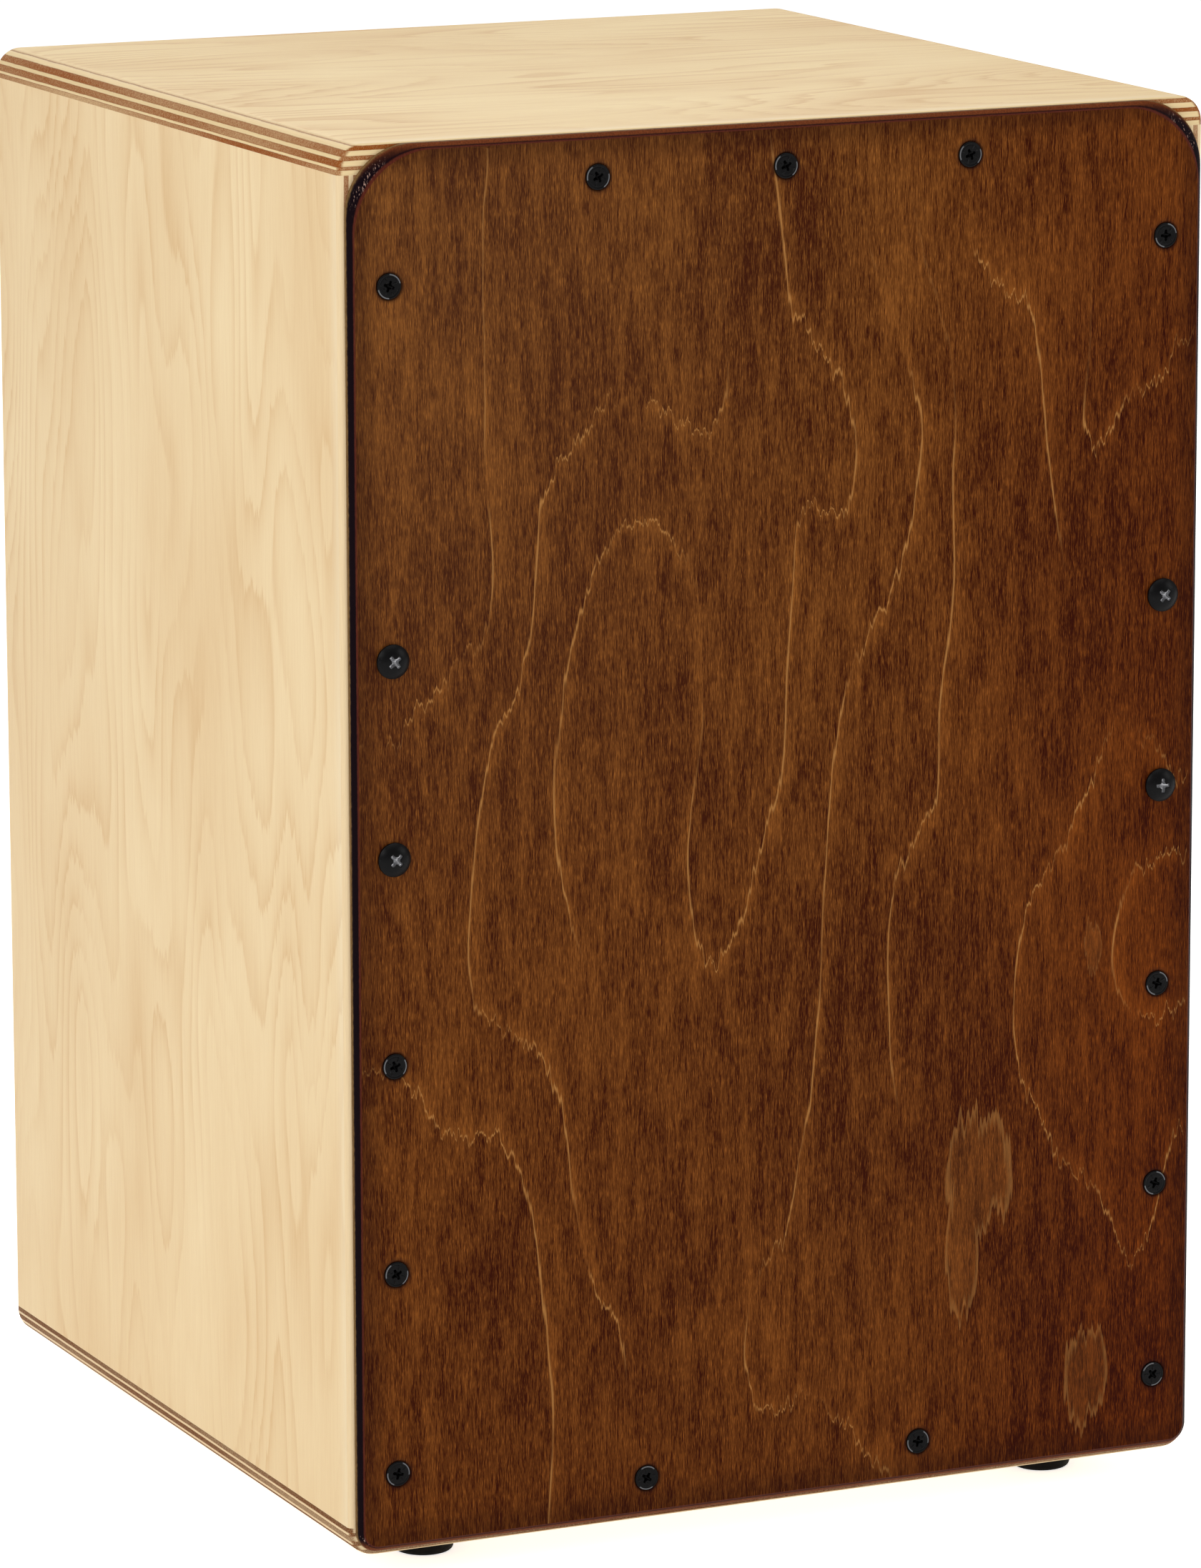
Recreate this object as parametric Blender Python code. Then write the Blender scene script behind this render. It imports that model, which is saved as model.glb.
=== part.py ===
"""A cajon: a birch plywood box drum with a screwed front plate, a sound hole at the back,
snare wires inside and rubber feet. Metres, +Z up, the front plate faces -Y, left is -X, and
the origin is under the middle of the whole object, on the surface that the feet stand on."""

import math

import bmesh
import bpy

# ---------------------------------------------------------------- driving dimensions

# The box without its front plate and feet.
BODY_WIDTH = 0.300
BODY_DEPTH = 0.296
BODY_HEIGHT = 0.447
PANEL_THICKNESS = 0.0095
EDGE_ROUND = 0.0085          # rounded long edges of the top and the bottom panel
SQUARE_STEP = 0.0006         # flat that stays below a rounded edge, at the least

# The gap between two pieces that touch or are glued together.
JOINT_GAP = 0.0003

# Front plate.
PLATE_THICKNESS = 0.0035
PLATE_SIDE_INSET = 0.0018
PLATE_TOP_INSET = 0.0004
PLATE_BOTTOM_INSET = 0.0017
PLATE_TOP_RADIUS = 0.022
PLATE_BOTTOM_RADIUS = 0.007
PLATE_BEVEL_WIDTH = 0.0021
PLATE_BEVEL_DEPTH = 0.0024
PLATE_CREST_ACROSS = 0.45        # the bevel's bulge, as shares of its width and depth
PLATE_CREST_BACK = 0.42
PLATE_CORNER_WIDENING = 0.0065   # how much rounder the face's top corners are than the edge's

# Back panel, flush with the back of the box.
BACK_THICKNESS = 0.006
SOUND_HOLE_DIAMETER = 0.120
SOUND_HOLE_DROP = 0.150      # from the top of the box to the middle of the hole

# Cleats glued inside, behind the front plate and in front of the back panel.
FRONT_CLEAT_WIDTH = 0.018
FRONT_CLEAT_DEPTH = 0.015
BACK_CLEAT_WIDTH = 0.015
BACK_CLEAT_DEPTH = 0.015

# Screws through the front plate. Each row stands in from its panel's inner face, so that it
# bites into the cleat there.
SIDE_SCREW_IN_CLEAT = 0.0057
TOP_SCREW_IN_CLEAT = 0.0046
BOTTOM_SCREW_IN_CLEAT = 0.0050
SIDE_SCREW_TOP_DROP = 0.0438     # from the top of the box to the highest side screw
SIDE_SCREW_LOWEST = 0.0267       # from the underside of the box
SIDE_SCREW_STEPS = (0.0648, 0.0669, 0.0660, 0.0624)
TOP_SCREW_SPACING = 0.0645
BOTTOM_SCREW_SPACING = 0.0970
PLATE_SCREW_LENGTH = 0.016       # below the plate's face
PLATE_SCREW_RADIUS = 0.00175
FLAT_HEAD_RADIUS = 0.0040
FLAT_HEAD_RIM = 0.0003
FLAT_HEAD_PROUD = 0.0001
PAN_HEAD_RADIUS = 0.0054
PAN_HEAD_HEIGHT = 0.0026
SCREW_POINT = 0.004
SCREW_CLEARANCE = 0.0003

# The domed heads' section, from the rim to the middle, as shares of the radius and the height.
DOME = ((1.0, 0.0), (1.0, 0.30), (0.86, 0.70), (0.60, 0.93), (0.34, 1.0), (0.0, 1.0))

# The cross recess of every screw, as shares of its head's radius.
RECESS_REACH = 0.58
RECESS_WIDTH = 0.26
RECESS_DEPTH = 0.42

# Feet, with a washer and a screw in each.
FOOT_HEIGHT = 0.010
FOOT_TOP_RADIUS = 0.0110
FOOT_BOTTOM_RADIUS = 0.0097
FOOT_ROUND = 0.0016
FOOT_SIDE_INSET = 0.0384         # from the side of the box to the middle of the foot
FOOT_END_INSET = 0.0306          # from the front or the back of the box
FOOT_RECESS_RADIUS = 0.0052
FOOT_RECESS_DEPTH = 0.0060
WASHER_THICKNESS = 0.0010
FOOT_SCREW_RADIUS = 0.0017
FOOT_SCREW_HEAD_RADIUS = 0.0036
FOOT_SCREW_HEAD_HEIGHT = 0.0022
FOOT_SCREW_BITE = 0.0078         # into the bottom panel

# Snare wires, the rail that they are screwed to, and the blocks under the rail.
SNARE_STRANDS = 12
SNARE_PITCH = 0.0042
SNARE_WIRE = 0.0016
SNARE_WIRE_LENGTH = 0.125
SNARE_STRIP_HEIGHT = 0.012
SNARE_STRIP_MARGIN = 0.0008      # strip beyond the middle of the outermost wires
SNARE_CENTRE = 0.070             # from the middle of the box to the middle of a set
SNARE_TIP_GAP = 0.0005
SNARE_HEADROOM = 0.005           # between the tips and the top front cleat
SNARE_SCREW_SPACING = 0.034
SNARE_SCREW_RADIUS = 0.0013
SNARE_SCREW_HEAD_RADIUS = 0.0029
SNARE_SCREW_HEAD_HEIGHT = 0.0019
SNARE_SCREW_LENGTH = 0.012
RAIL_HEIGHT = 0.024
RAIL_DEPTH = 0.018
RAIL_LIP = 0.006                 # rail above the strip
RAIL_BLOCK_WIDTH = 0.020
RAIL_BLOCK_HEIGHT = 0.020
RAIL_SCREW_RADIUS = 0.00175
RAIL_SCREW_HEAD_RADIUS = 0.0036
RAIL_SCREW_HEAD_HEIGHT = 0.0022
RAIL_SCREW_BITE = 0.012          # into the block

# Facets of round shapes.
SCREW_FACETS = 14
FOOT_FACETS = 24
HOLE_FACETS = 48
CORNER_STEPS = 8
ROUND_STEPS = 8
FOOT_ROUND_STEPS = 3

# ---------------------------------------------------------------- places that follow

PLATE_STACK = JOINT_GAP + PLATE_THICKNESS
HALF_WIDTH = BODY_WIDTH / 2
BODY_CENTRE_Y = (PLATE_STACK + JOINT_GAP + PAN_HEAD_HEIGHT) / 2
FRONT_Y = BODY_CENTRE_Y - BODY_DEPTH / 2
BACK_Y = BODY_CENTRE_Y + BODY_DEPTH / 2
UNDERSIDE_Z = FOOT_HEIGHT
TOP_Z = UNDERSIDE_Z + BODY_HEIGHT
FACE_Y = FRONT_Y - PLATE_STACK

INNER_HALF_WIDTH = HALF_WIDTH - PANEL_THICKNESS
INNER_BOTTOM_Z = UNDERSIDE_Z + PANEL_THICKNESS
INNER_TOP_Z = TOP_Z - PANEL_THICKNESS
SIDES = (("left", -1), ("right", 1))


def material(name, colour, roughness, metallic=0.0):
    """A Principled material with one colour, roughness and metallic value."""
    made = bpy.data.materials.new(name)
    made.use_nodes = True
    shader = made.node_tree.nodes["Principled BSDF"]
    shader.inputs["Base Color"].default_value = (*colour, 1.0)
    shader.inputs["Roughness"].default_value = roughness
    shader.inputs["Metallic"].default_value = metallic
    made.diffuse_color = (*colour, 1.0)
    return made


def place(name, bm, finish, location=(0, 0, 0), turn=0.0, cutter=False):
    """Puts a closed bmesh into an object, at its location, turned about X."""
    bmesh.ops.recalc_face_normals(bm, faces=bm.faces)
    mesh = bpy.data.meshes.new(name)
    bm.to_mesh(mesh)
    bm.free()
    made = bpy.data.objects.new(name, mesh)
    bpy.context.scene.collection.objects.link(made)
    made.location = location
    made.rotation_euler = (turn, 0.0, 0.0)
    if cutter:
        made.hide_render = True
        made.display_type = "WIRE"
    else:
        made.parent = root
        mesh.materials.append(finish)
        mesh.shade_smooth()
        mesh.set_sharp_from_angle(angle=math.radians(35))
    return made


def cut(workpiece, cutter):
    """Takes the cutter's solids out of the workpiece."""
    boolean = workpiece.modifiers.new("cut_" + cutter.name, "BOOLEAN")
    boolean.operation = "DIFFERENCE"
    boolean.solver = "EXACT"
    boolean.object = cutter


def rings_to_bmesh(rings, loop=False):
    """Skins rings of the same number of points. A ring of one point is a pole. Open ends
    that aren't poles are capped, and a loop joins its last ring to its first."""
    bm = bmesh.new()
    built = [[bm.verts.new(point) for point in ring] for ring in rings]
    pairs = list(zip(built, built[1:]))
    if loop:
        pairs.append((built[-1], built[0]))
    for lower, upper in pairs:
        count = max(len(lower), len(upper))
        for index in range(count):
            after = (index + 1) % count
            if len(lower) == 1:
                bm.faces.new((lower[0], upper[after], upper[index]))
            elif len(upper) == 1:
                bm.faces.new((lower[index], lower[after], upper[0]))
            else:
                bm.faces.new((lower[index], lower[after], upper[after], upper[index]))
    if not loop:
        for end in (built[0], built[-1]):
            if len(end) > 2:
                bm.faces.new(end)
    return bm


def turned_rings(profile, facets, centre=(0, 0, 0)):
    """Rings of a shape turned about Z, from (radius, height) pairs. Radius 0 is a pole."""
    rings = []
    for radius, height in profile:
        if radius == 0:
            rings.append([(centre[0], centre[1], centre[2] + height)])
            continue
        ring = []
        for index in range(facets):
            angle = 2 * math.pi * index / facets
            across = centre[0] + radius * math.cos(angle)
            along = centre[1] + radius * math.sin(angle)
            ring.append((across, along, centre[2] + height))
        rings.append(ring)
    return rings


def prism(name, outline, axis, low, high, finish, cutter=False):
    """Extrudes an outline from low to high. It is (y, z), (x, z) or (x, y) for x, y or z."""
    rings = []
    for level in (low, high):
        ring = []
        for first, second in outline:
            values = {"x": (level, first, second), "y": (first, level, second), "z": (first, second, level)}
            ring.append(values[axis])
        rings.append(ring)
    return place(name, rings_to_bmesh(rings), finish, cutter=cutter)


def block(name, low, high, finish):
    """A rectangular piece between two corners."""
    outline = [(low[0], low[1]), (high[0], low[1]), (high[0], high[1]), (low[0], high[1])]
    return prism(name, outline, "z", low[2], high[2], finish)


def rounded_outline(half_width, bottom, top, bottom_radius, top_radius):
    """An (x, z) rectangle, anticlockwise from its bottom right, with an arc at each corner."""
    corners = (
        (half_width, bottom, bottom_radius, -90),
        (half_width, top, top_radius, 0),
        (-half_width, top, top_radius, 90),
        (-half_width, bottom, bottom_radius, 180),
    )
    points = []
    for corner_x, corner_z, radius, start in corners:
        centre_x = corner_x - math.copysign(radius, corner_x)
        centre_z = corner_z + (radius if corner_z == bottom else -radius)
        for step in range(CORNER_STEPS + 1):
            angle = math.radians(start + 90 * step / CORNER_STEPS)
            points.append((centre_x + radius * math.cos(angle), centre_z + radius * math.sin(angle)))
    return points


# ---------------------------------------------------------------- screws

def flat_screw_profile(clearance=0.0):
    """A countersunk screw, head up, with height 0 at the face that it sits in. With a
    clearance it is the hole for that screw, open at the top."""
    radius = PLATE_SCREW_RADIUS + clearance
    head = FLAT_HEAD_RADIUS + clearance
    cone_bottom = -FLAT_HEAD_RIM - (FLAT_HEAD_RADIUS - PLATE_SCREW_RADIUS)
    top = FLAT_HEAD_PROUD + (PLATE_THICKNESS if clearance else 0.0)
    return [
        (0, -PLATE_SCREW_LENGTH - clearance),
        (radius, -PLATE_SCREW_LENGTH + (0.0 if clearance else SCREW_POINT)),
        (radius, cone_bottom),
        (head, -FLAT_HEAD_RIM),
        (head, top),
        (0, top),
    ]


def pan_screw_profile(radius, length, head_radius, head_height):
    """A pan-head screw, head up, with height 0 at the underside of its domed head."""
    shank = [(0, -length), (radius, -length + SCREW_POINT), (radius, 0)]
    return shank + [(head_radius * out, head_height * up) for out, up in DOME]


def bore_profile(radius, length, above):
    """The hole for a screw's shank, from below its point to a height above its head's seat."""
    wide = radius + SCREW_CLEARANCE
    return [(0, -length - SCREW_CLEARANCE), (wide, -length), (wide, above), (0, above)]


def recess_solid(head_radius, head_top):
    """A plus-shaped cutter for the cross recess of a screw head whose top is at a height."""
    reach = RECESS_REACH * head_radius
    half = RECESS_WIDTH * head_radius / 2
    corners = ((reach, -half), (reach, half), (half, half))
    rings = []
    for level in (head_top - RECESS_DEPTH * head_radius, head_top + head_radius):
        ring = []
        for quarter in range(4):
            cosine, sine = ((1, 0), (0, 1), (-1, 0), (0, -1))[quarter]
            for x, y in corners:
                ring.append((x * cosine - y * sine, x * sine + y * cosine, level))
        rings.append(ring)
    return rings_to_bmesh(rings)


def join_meshes(bmeshes):
    """One bmesh that holds several."""
    joined = bmesh.new()
    for bm in bmeshes:
        mesh = bpy.data.meshes.new("joined")
        bm.to_mesh(mesh)
        bm.free()
        joined.from_mesh(mesh)
        bpy.data.meshes.remove(mesh)
    return joined


def fasteners(names_and_places, profile, head_radius, head_top, finish, turn):
    """Makes a screw of one profile at each place, with its cross recess cut."""
    for name, spot in names_and_places:
        screw = place(name, rings_to_bmesh(turned_rings(profile, SCREW_FACETS)), finish, spot, turn)
        recess = recess_solid(head_radius, head_top)
        cut(screw, place(name + "_recess", recess, None, spot, turn, cutter=True))


def drill(name, profile_and_places, turn):
    """A cutter of several turned solids that share one turn about X."""
    solids = []
    for profile, (x, y, z) in profile_and_places:
        # The solids are made in the turned frame, so each place is turned back into it.
        along = y * math.cos(turn) + z * math.sin(turn)
        above = z * math.cos(turn) - y * math.sin(turn)
        solids.append(rings_to_bmesh(turned_rings(profile, SCREW_FACETS, (x, along, above))))
    return place(name, join_meshes(solids), None, turn=turn, cutter=True)


# ---------------------------------------------------------------- start

for leftover in list(bpy.data.objects):
    bpy.data.objects.remove(leftover, do_unlink=True)

birch = material("birch_ply", (0.80, 0.62, 0.38), 0.38)
stained = material("stained_ply", (0.127, 0.047, 0.014), 0.42)
softwood = material("cleat_wood", (0.72, 0.52, 0.30), 0.70)
black_steel = material("black_steel", (0.012, 0.012, 0.013), 0.30, 0.60)
bright_steel = material("bright_steel", (0.62, 0.62, 0.64), 0.28, 1.0)
rubber = material("black_rubber", (0.015, 0.015, 0.016), 0.75)

root = bpy.data.objects.new("cajon", None)
bpy.context.scene.collection.objects.link(root)


# ---------------------------------------------------------------- box

def shelf_outline(outer_z, inner_z):
    """The (x, z) section of the top or the bottom panel, rounded at its outer corners."""
    up = math.copysign(1.0, outer_z - inner_z)
    radius = min(EDGE_ROUND, PANEL_THICKNESS - SQUARE_STEP)
    points = [(-HALF_WIDTH, inner_z), (HALF_WIDTH, inner_z)]
    for step in range(ROUND_STEPS + 1):
        angle = math.radians(90 * step / ROUND_STEPS)
        x = HALF_WIDTH - radius + radius * math.cos(angle)
        points.append((x, outer_z - up * radius * (1 - math.sin(angle))))
    mirrored = [(-x, z) for x, z in reversed(points[2:])]
    return points + mirrored


top_panel = prism("top_panel", shelf_outline(TOP_Z, INNER_TOP_Z), "y", FRONT_Y, BACK_Y, birch)
bottom_panel = prism("bottom_panel", shelf_outline(UNDERSIDE_Z, INNER_BOTTOM_Z), "y", FRONT_Y, BACK_Y, birch)

for side, sign in SIDES:
    faces = sorted((sign * HALF_WIDTH, sign * INNER_HALF_WIDTH))
    low = (faces[0], FRONT_Y, INNER_BOTTOM_Z + JOINT_GAP)
    high = (faces[1], BACK_Y, INNER_TOP_Z - JOINT_GAP)
    block(side + "_side", low, high, birch)

back_panel = block(
    "back_panel",
    (-INNER_HALF_WIDTH + JOINT_GAP, BACK_Y - BACK_THICKNESS, INNER_BOTTOM_Z + JOINT_GAP),
    (INNER_HALF_WIDTH - JOINT_GAP, BACK_Y, INNER_TOP_Z - JOINT_GAP),
    birch,
)
hole_rings = turned_rings(
    [(0, -BACK_THICKNESS), (SOUND_HOLE_DIAMETER / 2, -BACK_THICKNESS),
     (SOUND_HOLE_DIAMETER / 2, 2 * BACK_THICKNESS), (0, 2 * BACK_THICKNESS)],
    HOLE_FACETS,
)
hole_cutter = place("sound_hole_cutter", rings_to_bmesh(hole_rings), None, cutter=True,
                    location=(0, BACK_Y, TOP_Z - SOUND_HOLE_DROP), turn=math.radians(90))
cut(back_panel, hole_cutter)


def cleats(prefix, width, depth, front):
    """Four cleats round the inside of the box: two uprights, and two between them."""
    made = {}
    outer = INNER_HALF_WIDTH - JOINT_GAP
    bottom = INNER_BOTTOM_Z + JOINT_GAP
    top = INNER_TOP_Z - JOINT_GAP
    for side, sign in SIDES:
        faces = sorted((sign * outer, sign * (outer - width)))
        low = (faces[0], front, bottom)
        high = (faces[1], front + depth, top)
        made[side] = block(prefix + "_cleat_" + side, low, high, softwood)
    reach = outer - width - JOINT_GAP
    for level, low_z in (("top", top - width), ("bottom", bottom)):
        low = (-reach, front, low_z)
        high = (reach, front + depth, low_z + width)
        made[level] = block(prefix + "_cleat_" + level, low, high, softwood)
    return made


front_cleats = cleats("front", FRONT_CLEAT_WIDTH, FRONT_CLEAT_DEPTH, FRONT_Y)
cleats("back", BACK_CLEAT_WIDTH, BACK_CLEAT_DEPTH, BACK_Y - BACK_THICKNESS - JOINT_GAP - BACK_CLEAT_DEPTH)


# ---------------------------------------------------------------- front plate

def plate_ring(inset, extra_top_radius, depth):
    """The plate's outline drawn in by an inset, at a depth behind its face."""
    outline = rounded_outline(
        HALF_WIDTH - PLATE_SIDE_INSET - inset,
        UNDERSIDE_Z + PLATE_BOTTOM_INSET + inset,
        TOP_Z - PLATE_TOP_INSET - inset,
        max(PLATE_BOTTOM_RADIUS - inset, PLATE_BOTTOM_RADIUS / 2),
        PLATE_TOP_RADIUS - inset + extra_top_radius,
    )
    return [(x, FACE_Y + depth, z) for x, z in outline]


front_plate = place("front_plate", rings_to_bmesh([
    plate_ring(0.0, 0.0, PLATE_THICKNESS),
    plate_ring(0.0, 0.0, PLATE_BEVEL_DEPTH),
    plate_ring(PLATE_BEVEL_WIDTH * PLATE_CREST_ACROSS, PLATE_CORNER_WIDENING * PLATE_CREST_ACROSS,
               PLATE_BEVEL_DEPTH * PLATE_CREST_BACK),
    plate_ring(PLATE_BEVEL_WIDTH, PLATE_CORNER_WIDENING, 0.0),
]), stained)

side_heights = [UNDERSIDE_Z + SIDE_SCREW_LOWEST]
for step in SIDE_SCREW_STEPS:
    side_heights.append(side_heights[-1] + step)
side_heights.append(TOP_Z - SIDE_SCREW_TOP_DROP)
side_heights.reverse()
PAN_PLACES = (2, 3)

flat_screws = []
pan_screws = []
for side, sign in SIDES:
    for number, height in enumerate(side_heights, start=1):
        spot = (sign * (INNER_HALF_WIDTH - SIDE_SCREW_IN_CLEAT), FACE_Y, height)
        if number in PAN_PLACES:
            seat = (spot[0], FACE_Y - JOINT_GAP, height)
            pan_screws.append(("pan_screw_%s_%d" % (side, number), seat))
        else:
            flat_screws.append(("plate_screw_%s_%d" % (side, number), spot))
for number in (1, 2, 3):
    spot = ((number - 2) * TOP_SCREW_SPACING, FACE_Y, INNER_TOP_Z - TOP_SCREW_IN_CLEAT)
    flat_screws.append(("plate_screw_top_%d" % number, spot))
for number in (1, 2):
    spot = ((number - 1.5) * BOTTOM_SCREW_SPACING, FACE_Y, INNER_BOTTOM_Z + BOTTOM_SCREW_IN_CLEAT)
    flat_screws.append(("plate_screw_bottom_%d" % number, spot))

FACING_FRONT = math.radians(90)
pan_length = PLATE_SCREW_LENGTH + JOINT_GAP
pan_profile = pan_screw_profile(PLATE_SCREW_RADIUS, pan_length, PAN_HEAD_RADIUS, PAN_HEAD_HEIGHT)
fasteners(flat_screws, flat_screw_profile(), FLAT_HEAD_RADIUS, FLAT_HEAD_PROUD, black_steel, FACING_FRONT)
fasteners(pan_screws, pan_profile, PAN_HEAD_RADIUS, PAN_HEAD_HEIGHT, black_steel, FACING_FRONT)

flat_hole = flat_screw_profile(SCREW_CLEARANCE)
pan_hole = bore_profile(PLATE_SCREW_RADIUS, pan_length, PLATE_THICKNESS)
holes = [(flat_hole, spot) for _, spot in flat_screws] + [(pan_hole, spot) for _, spot in pan_screws]
plate_cutter = drill("plate_screw_cutter", holes, FACING_FRONT)
for workpiece in (front_plate, *front_cleats.values()):
    cut(workpiece, plate_cutter)


# ---------------------------------------------------------------- feet

def foot_profile():
    """The rubber foot from its recess round its outside to its bore, with height 0 on the
    surface that it stands on."""
    top = FOOT_HEIGHT - JOINT_GAP
    bore = FOOT_SCREW_RADIUS + SCREW_CLEARANCE
    points = [(FOOT_RECESS_RADIUS, 0.0)]
    for step in range(FOOT_ROUND_STEPS + 1):
        angle = math.radians(90 * step / FOOT_ROUND_STEPS)
        radius = FOOT_BOTTOM_RADIUS - FOOT_ROUND * (1 - math.sin(angle))
        points.append((radius, FOOT_ROUND * (1 - math.cos(angle))))
    points += [(FOOT_TOP_RADIUS, top), (bore, top), (bore, FOOT_RECESS_DEPTH)]
    points.append((FOOT_RECESS_RADIUS, FOOT_RECESS_DEPTH))
    return points


washer_top = FOOT_RECESS_DEPTH - JOINT_GAP
washer_bottom = washer_top - WASHER_THICKNESS
washer_hole = FOOT_SCREW_RADIUS + SCREW_CLEARANCE
washer_edge = FOOT_RECESS_RADIUS - SCREW_CLEARANCE
washer_profile = [(washer_hole, washer_bottom), (washer_edge, washer_bottom),
                  (washer_edge, washer_top), (washer_hole, washer_top)]
foot_screw_seat = washer_bottom - JOINT_GAP
foot_screw_length = UNDERSIDE_Z - foot_screw_seat + FOOT_SCREW_BITE
foot_screw = pan_screw_profile(
    FOOT_SCREW_RADIUS, foot_screw_length, FOOT_SCREW_HEAD_RADIUS, FOOT_SCREW_HEAD_HEIGHT)

HEAD_DOWN = math.radians(180)
foot_screws = []
for end, y in (("front", FRONT_Y + FOOT_END_INSET), ("back", BACK_Y - FOOT_END_INSET)):
    for side, sign in SIDES:
        label = "%s_%s" % (end, side)
        spot = (sign * (HALF_WIDTH - FOOT_SIDE_INSET), y, 0.0)
        seat = (spot[0], spot[1], foot_screw_seat)
        foot_screws.append(("foot_screw_" + label, seat))
        foot = rings_to_bmesh(turned_rings(foot_profile(), FOOT_FACETS), loop=True)
        place("foot_" + label, foot, rubber, location=spot)
        washer = rings_to_bmesh(turned_rings(washer_profile, SCREW_FACETS), loop=True)
        place("foot_washer_" + label, washer, bright_steel, location=spot)
fasteners(foot_screws, foot_screw, FOOT_SCREW_HEAD_RADIUS, FOOT_SCREW_HEAD_HEIGHT, bright_steel, HEAD_DOWN)

foot_bore = bore_profile(FOOT_SCREW_RADIUS, foot_screw_length, 0.0)
foot_cutter = drill("foot_screw_cutter", [(foot_bore, seat) for _, seat in foot_screws], HEAD_DOWN)
cut(bottom_panel, foot_cutter)


# ---------------------------------------------------------------- snares

# The wires lean back from their tips, just behind the plate, so that the rail's front
# clears the cleats. Distances along the wires are measured down from the tips.
tip_y = FRONT_Y - JOINT_GAP + SNARE_TIP_GAP
tip_z = INNER_TOP_Z - JOINT_GAP - FRONT_CLEAT_WIDTH - SNARE_HEADROOM
rail_top_distance = SNARE_WIRE_LENGTH - RAIL_LIP
rail_front_y = FRONT_Y + FRONT_CLEAT_DEPTH + JOINT_GAP
rail_setback = SNARE_WIRE + JOINT_GAP
lean = math.asin((rail_front_y - tip_y - rail_setback) / rail_top_distance)


def snare_point(distance, behind):
    """The (y, z) at a distance down the wires' front and a distance behind it."""
    y = tip_y + distance * math.sin(lean) + behind * math.cos(lean)
    z = tip_z - distance * math.cos(lean) + behind * math.sin(lean)
    return y, z


def comb_outline():
    """The (x, distance up) outline of a snare set: a strip, with one tooth for each wire."""
    width = (SNARE_STRANDS - 1) * SNARE_PITCH + 2 * SNARE_STRIP_MARGIN
    points = [(-width / 2, -SNARE_STRIP_HEIGHT), (width / 2, -SNARE_STRIP_HEIGHT), (width / 2, 0.0)]
    for strand in reversed(range(SNARE_STRANDS)):
        middle = (strand - (SNARE_STRANDS - 1) / 2) * SNARE_PITCH
        right = middle + SNARE_WIRE / 2
        left = middle - SNARE_WIRE / 2
        points += [(right, 0.0), (right, SNARE_WIRE_LENGTH), (left, SNARE_WIRE_LENGTH), (left, 0.0)]
    points.append((-width / 2, 0.0))
    return points


rail_outline = [
    snare_point(rail_top_distance, rail_setback),
    snare_point(rail_top_distance + RAIL_HEIGHT, rail_setback),
]
rail_back_y = rail_outline[0][0] + RAIL_DEPTH
rail_top_z = rail_outline[0][1]
rail_bottom_y, rail_bottom_z = rail_outline[1]
rail_outline += [(rail_back_y, rail_bottom_z), (rail_back_y, rail_top_z)]
rail_reach = INNER_HALF_WIDTH - JOINT_GAP
snare_rail = prism("snare_rail", rail_outline, "x", -rail_reach, rail_reach, softwood)

strip_top_y, strip_top_z = snare_point(SNARE_WIRE_LENGTH, 0.0)
strip_middle = SNARE_WIRE_LENGTH + SNARE_STRIP_HEIGHT / 2
screw_y, screw_z = snare_point(strip_middle, -JOINT_GAP)
snare_screw = pan_screw_profile(
    SNARE_SCREW_RADIUS, SNARE_SCREW_LENGTH, SNARE_SCREW_HEAD_RADIUS, SNARE_SCREW_HEAD_HEIGHT)
snare_sets = []
snare_screws = []
for side, sign in SIDES:
    comb_rings = [[(x, y, up) for x, up in comb_outline()] for y in (0.0, SNARE_WIRE)]
    spot = (sign * SNARE_CENTRE, strip_top_y, strip_top_z)
    comb = rings_to_bmesh(comb_rings)
    snare_sets.append(place("snare_wires_" + side, comb, bright_steel, location=spot, turn=lean))
    for number in (1, 2):
        spot = (sign * SNARE_CENTRE + (number - 1.5) * SNARE_SCREW_SPACING, screw_y, screw_z)
        snare_screws.append(("snare_screw_%s_%d" % (side, number), spot))
fasteners(snare_screws, snare_screw, SNARE_SCREW_HEAD_RADIUS, SNARE_SCREW_HEAD_HEIGHT,
          bright_steel, FACING_FRONT + lean)

snare_bore = bore_profile(SNARE_SCREW_RADIUS, SNARE_SCREW_LENGTH, SNARE_SCREW_HEAD_HEIGHT)
snare_cutter = drill(
    "snare_screw_cutter", [(snare_bore, spot) for _, spot in snare_screws], FACING_FRONT + lean)
for workpiece in (*snare_sets, snare_rail):
    cut(workpiece, snare_cutter)

# A block under each end of the rail, and a screw down through the rail into it.
rail_screw_length = RAIL_SCREW_BITE + rail_top_z - rail_bottom_z + 2 * JOINT_GAP
rail_screw = pan_screw_profile(
    RAIL_SCREW_RADIUS, rail_screw_length, RAIL_SCREW_HEAD_RADIUS, RAIL_SCREW_HEAD_HEIGHT)
rail_screws = []
rail_blocks = []
for side, sign in SIDES:
    faces = sorted((sign * rail_reach, sign * (rail_reach - RAIL_BLOCK_WIDTH)))
    block_top = rail_bottom_z - JOINT_GAP
    rail_blocks.append(block(
        "rail_block_" + side,
        (faces[0], rail_bottom_y, block_top - RAIL_BLOCK_HEIGHT),
        (faces[1], rail_back_y, block_top),
        softwood,
    ))
    middle_y = (rail_bottom_y + rail_back_y) / 2
    spot = (sign * (rail_reach - RAIL_BLOCK_WIDTH / 2), middle_y, rail_top_z + JOINT_GAP)
    rail_screws.append(("rail_screw_" + side, spot))
fasteners(rail_screws, rail_screw, RAIL_SCREW_HEAD_RADIUS, RAIL_SCREW_HEAD_HEIGHT, bright_steel, 0.0)

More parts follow.
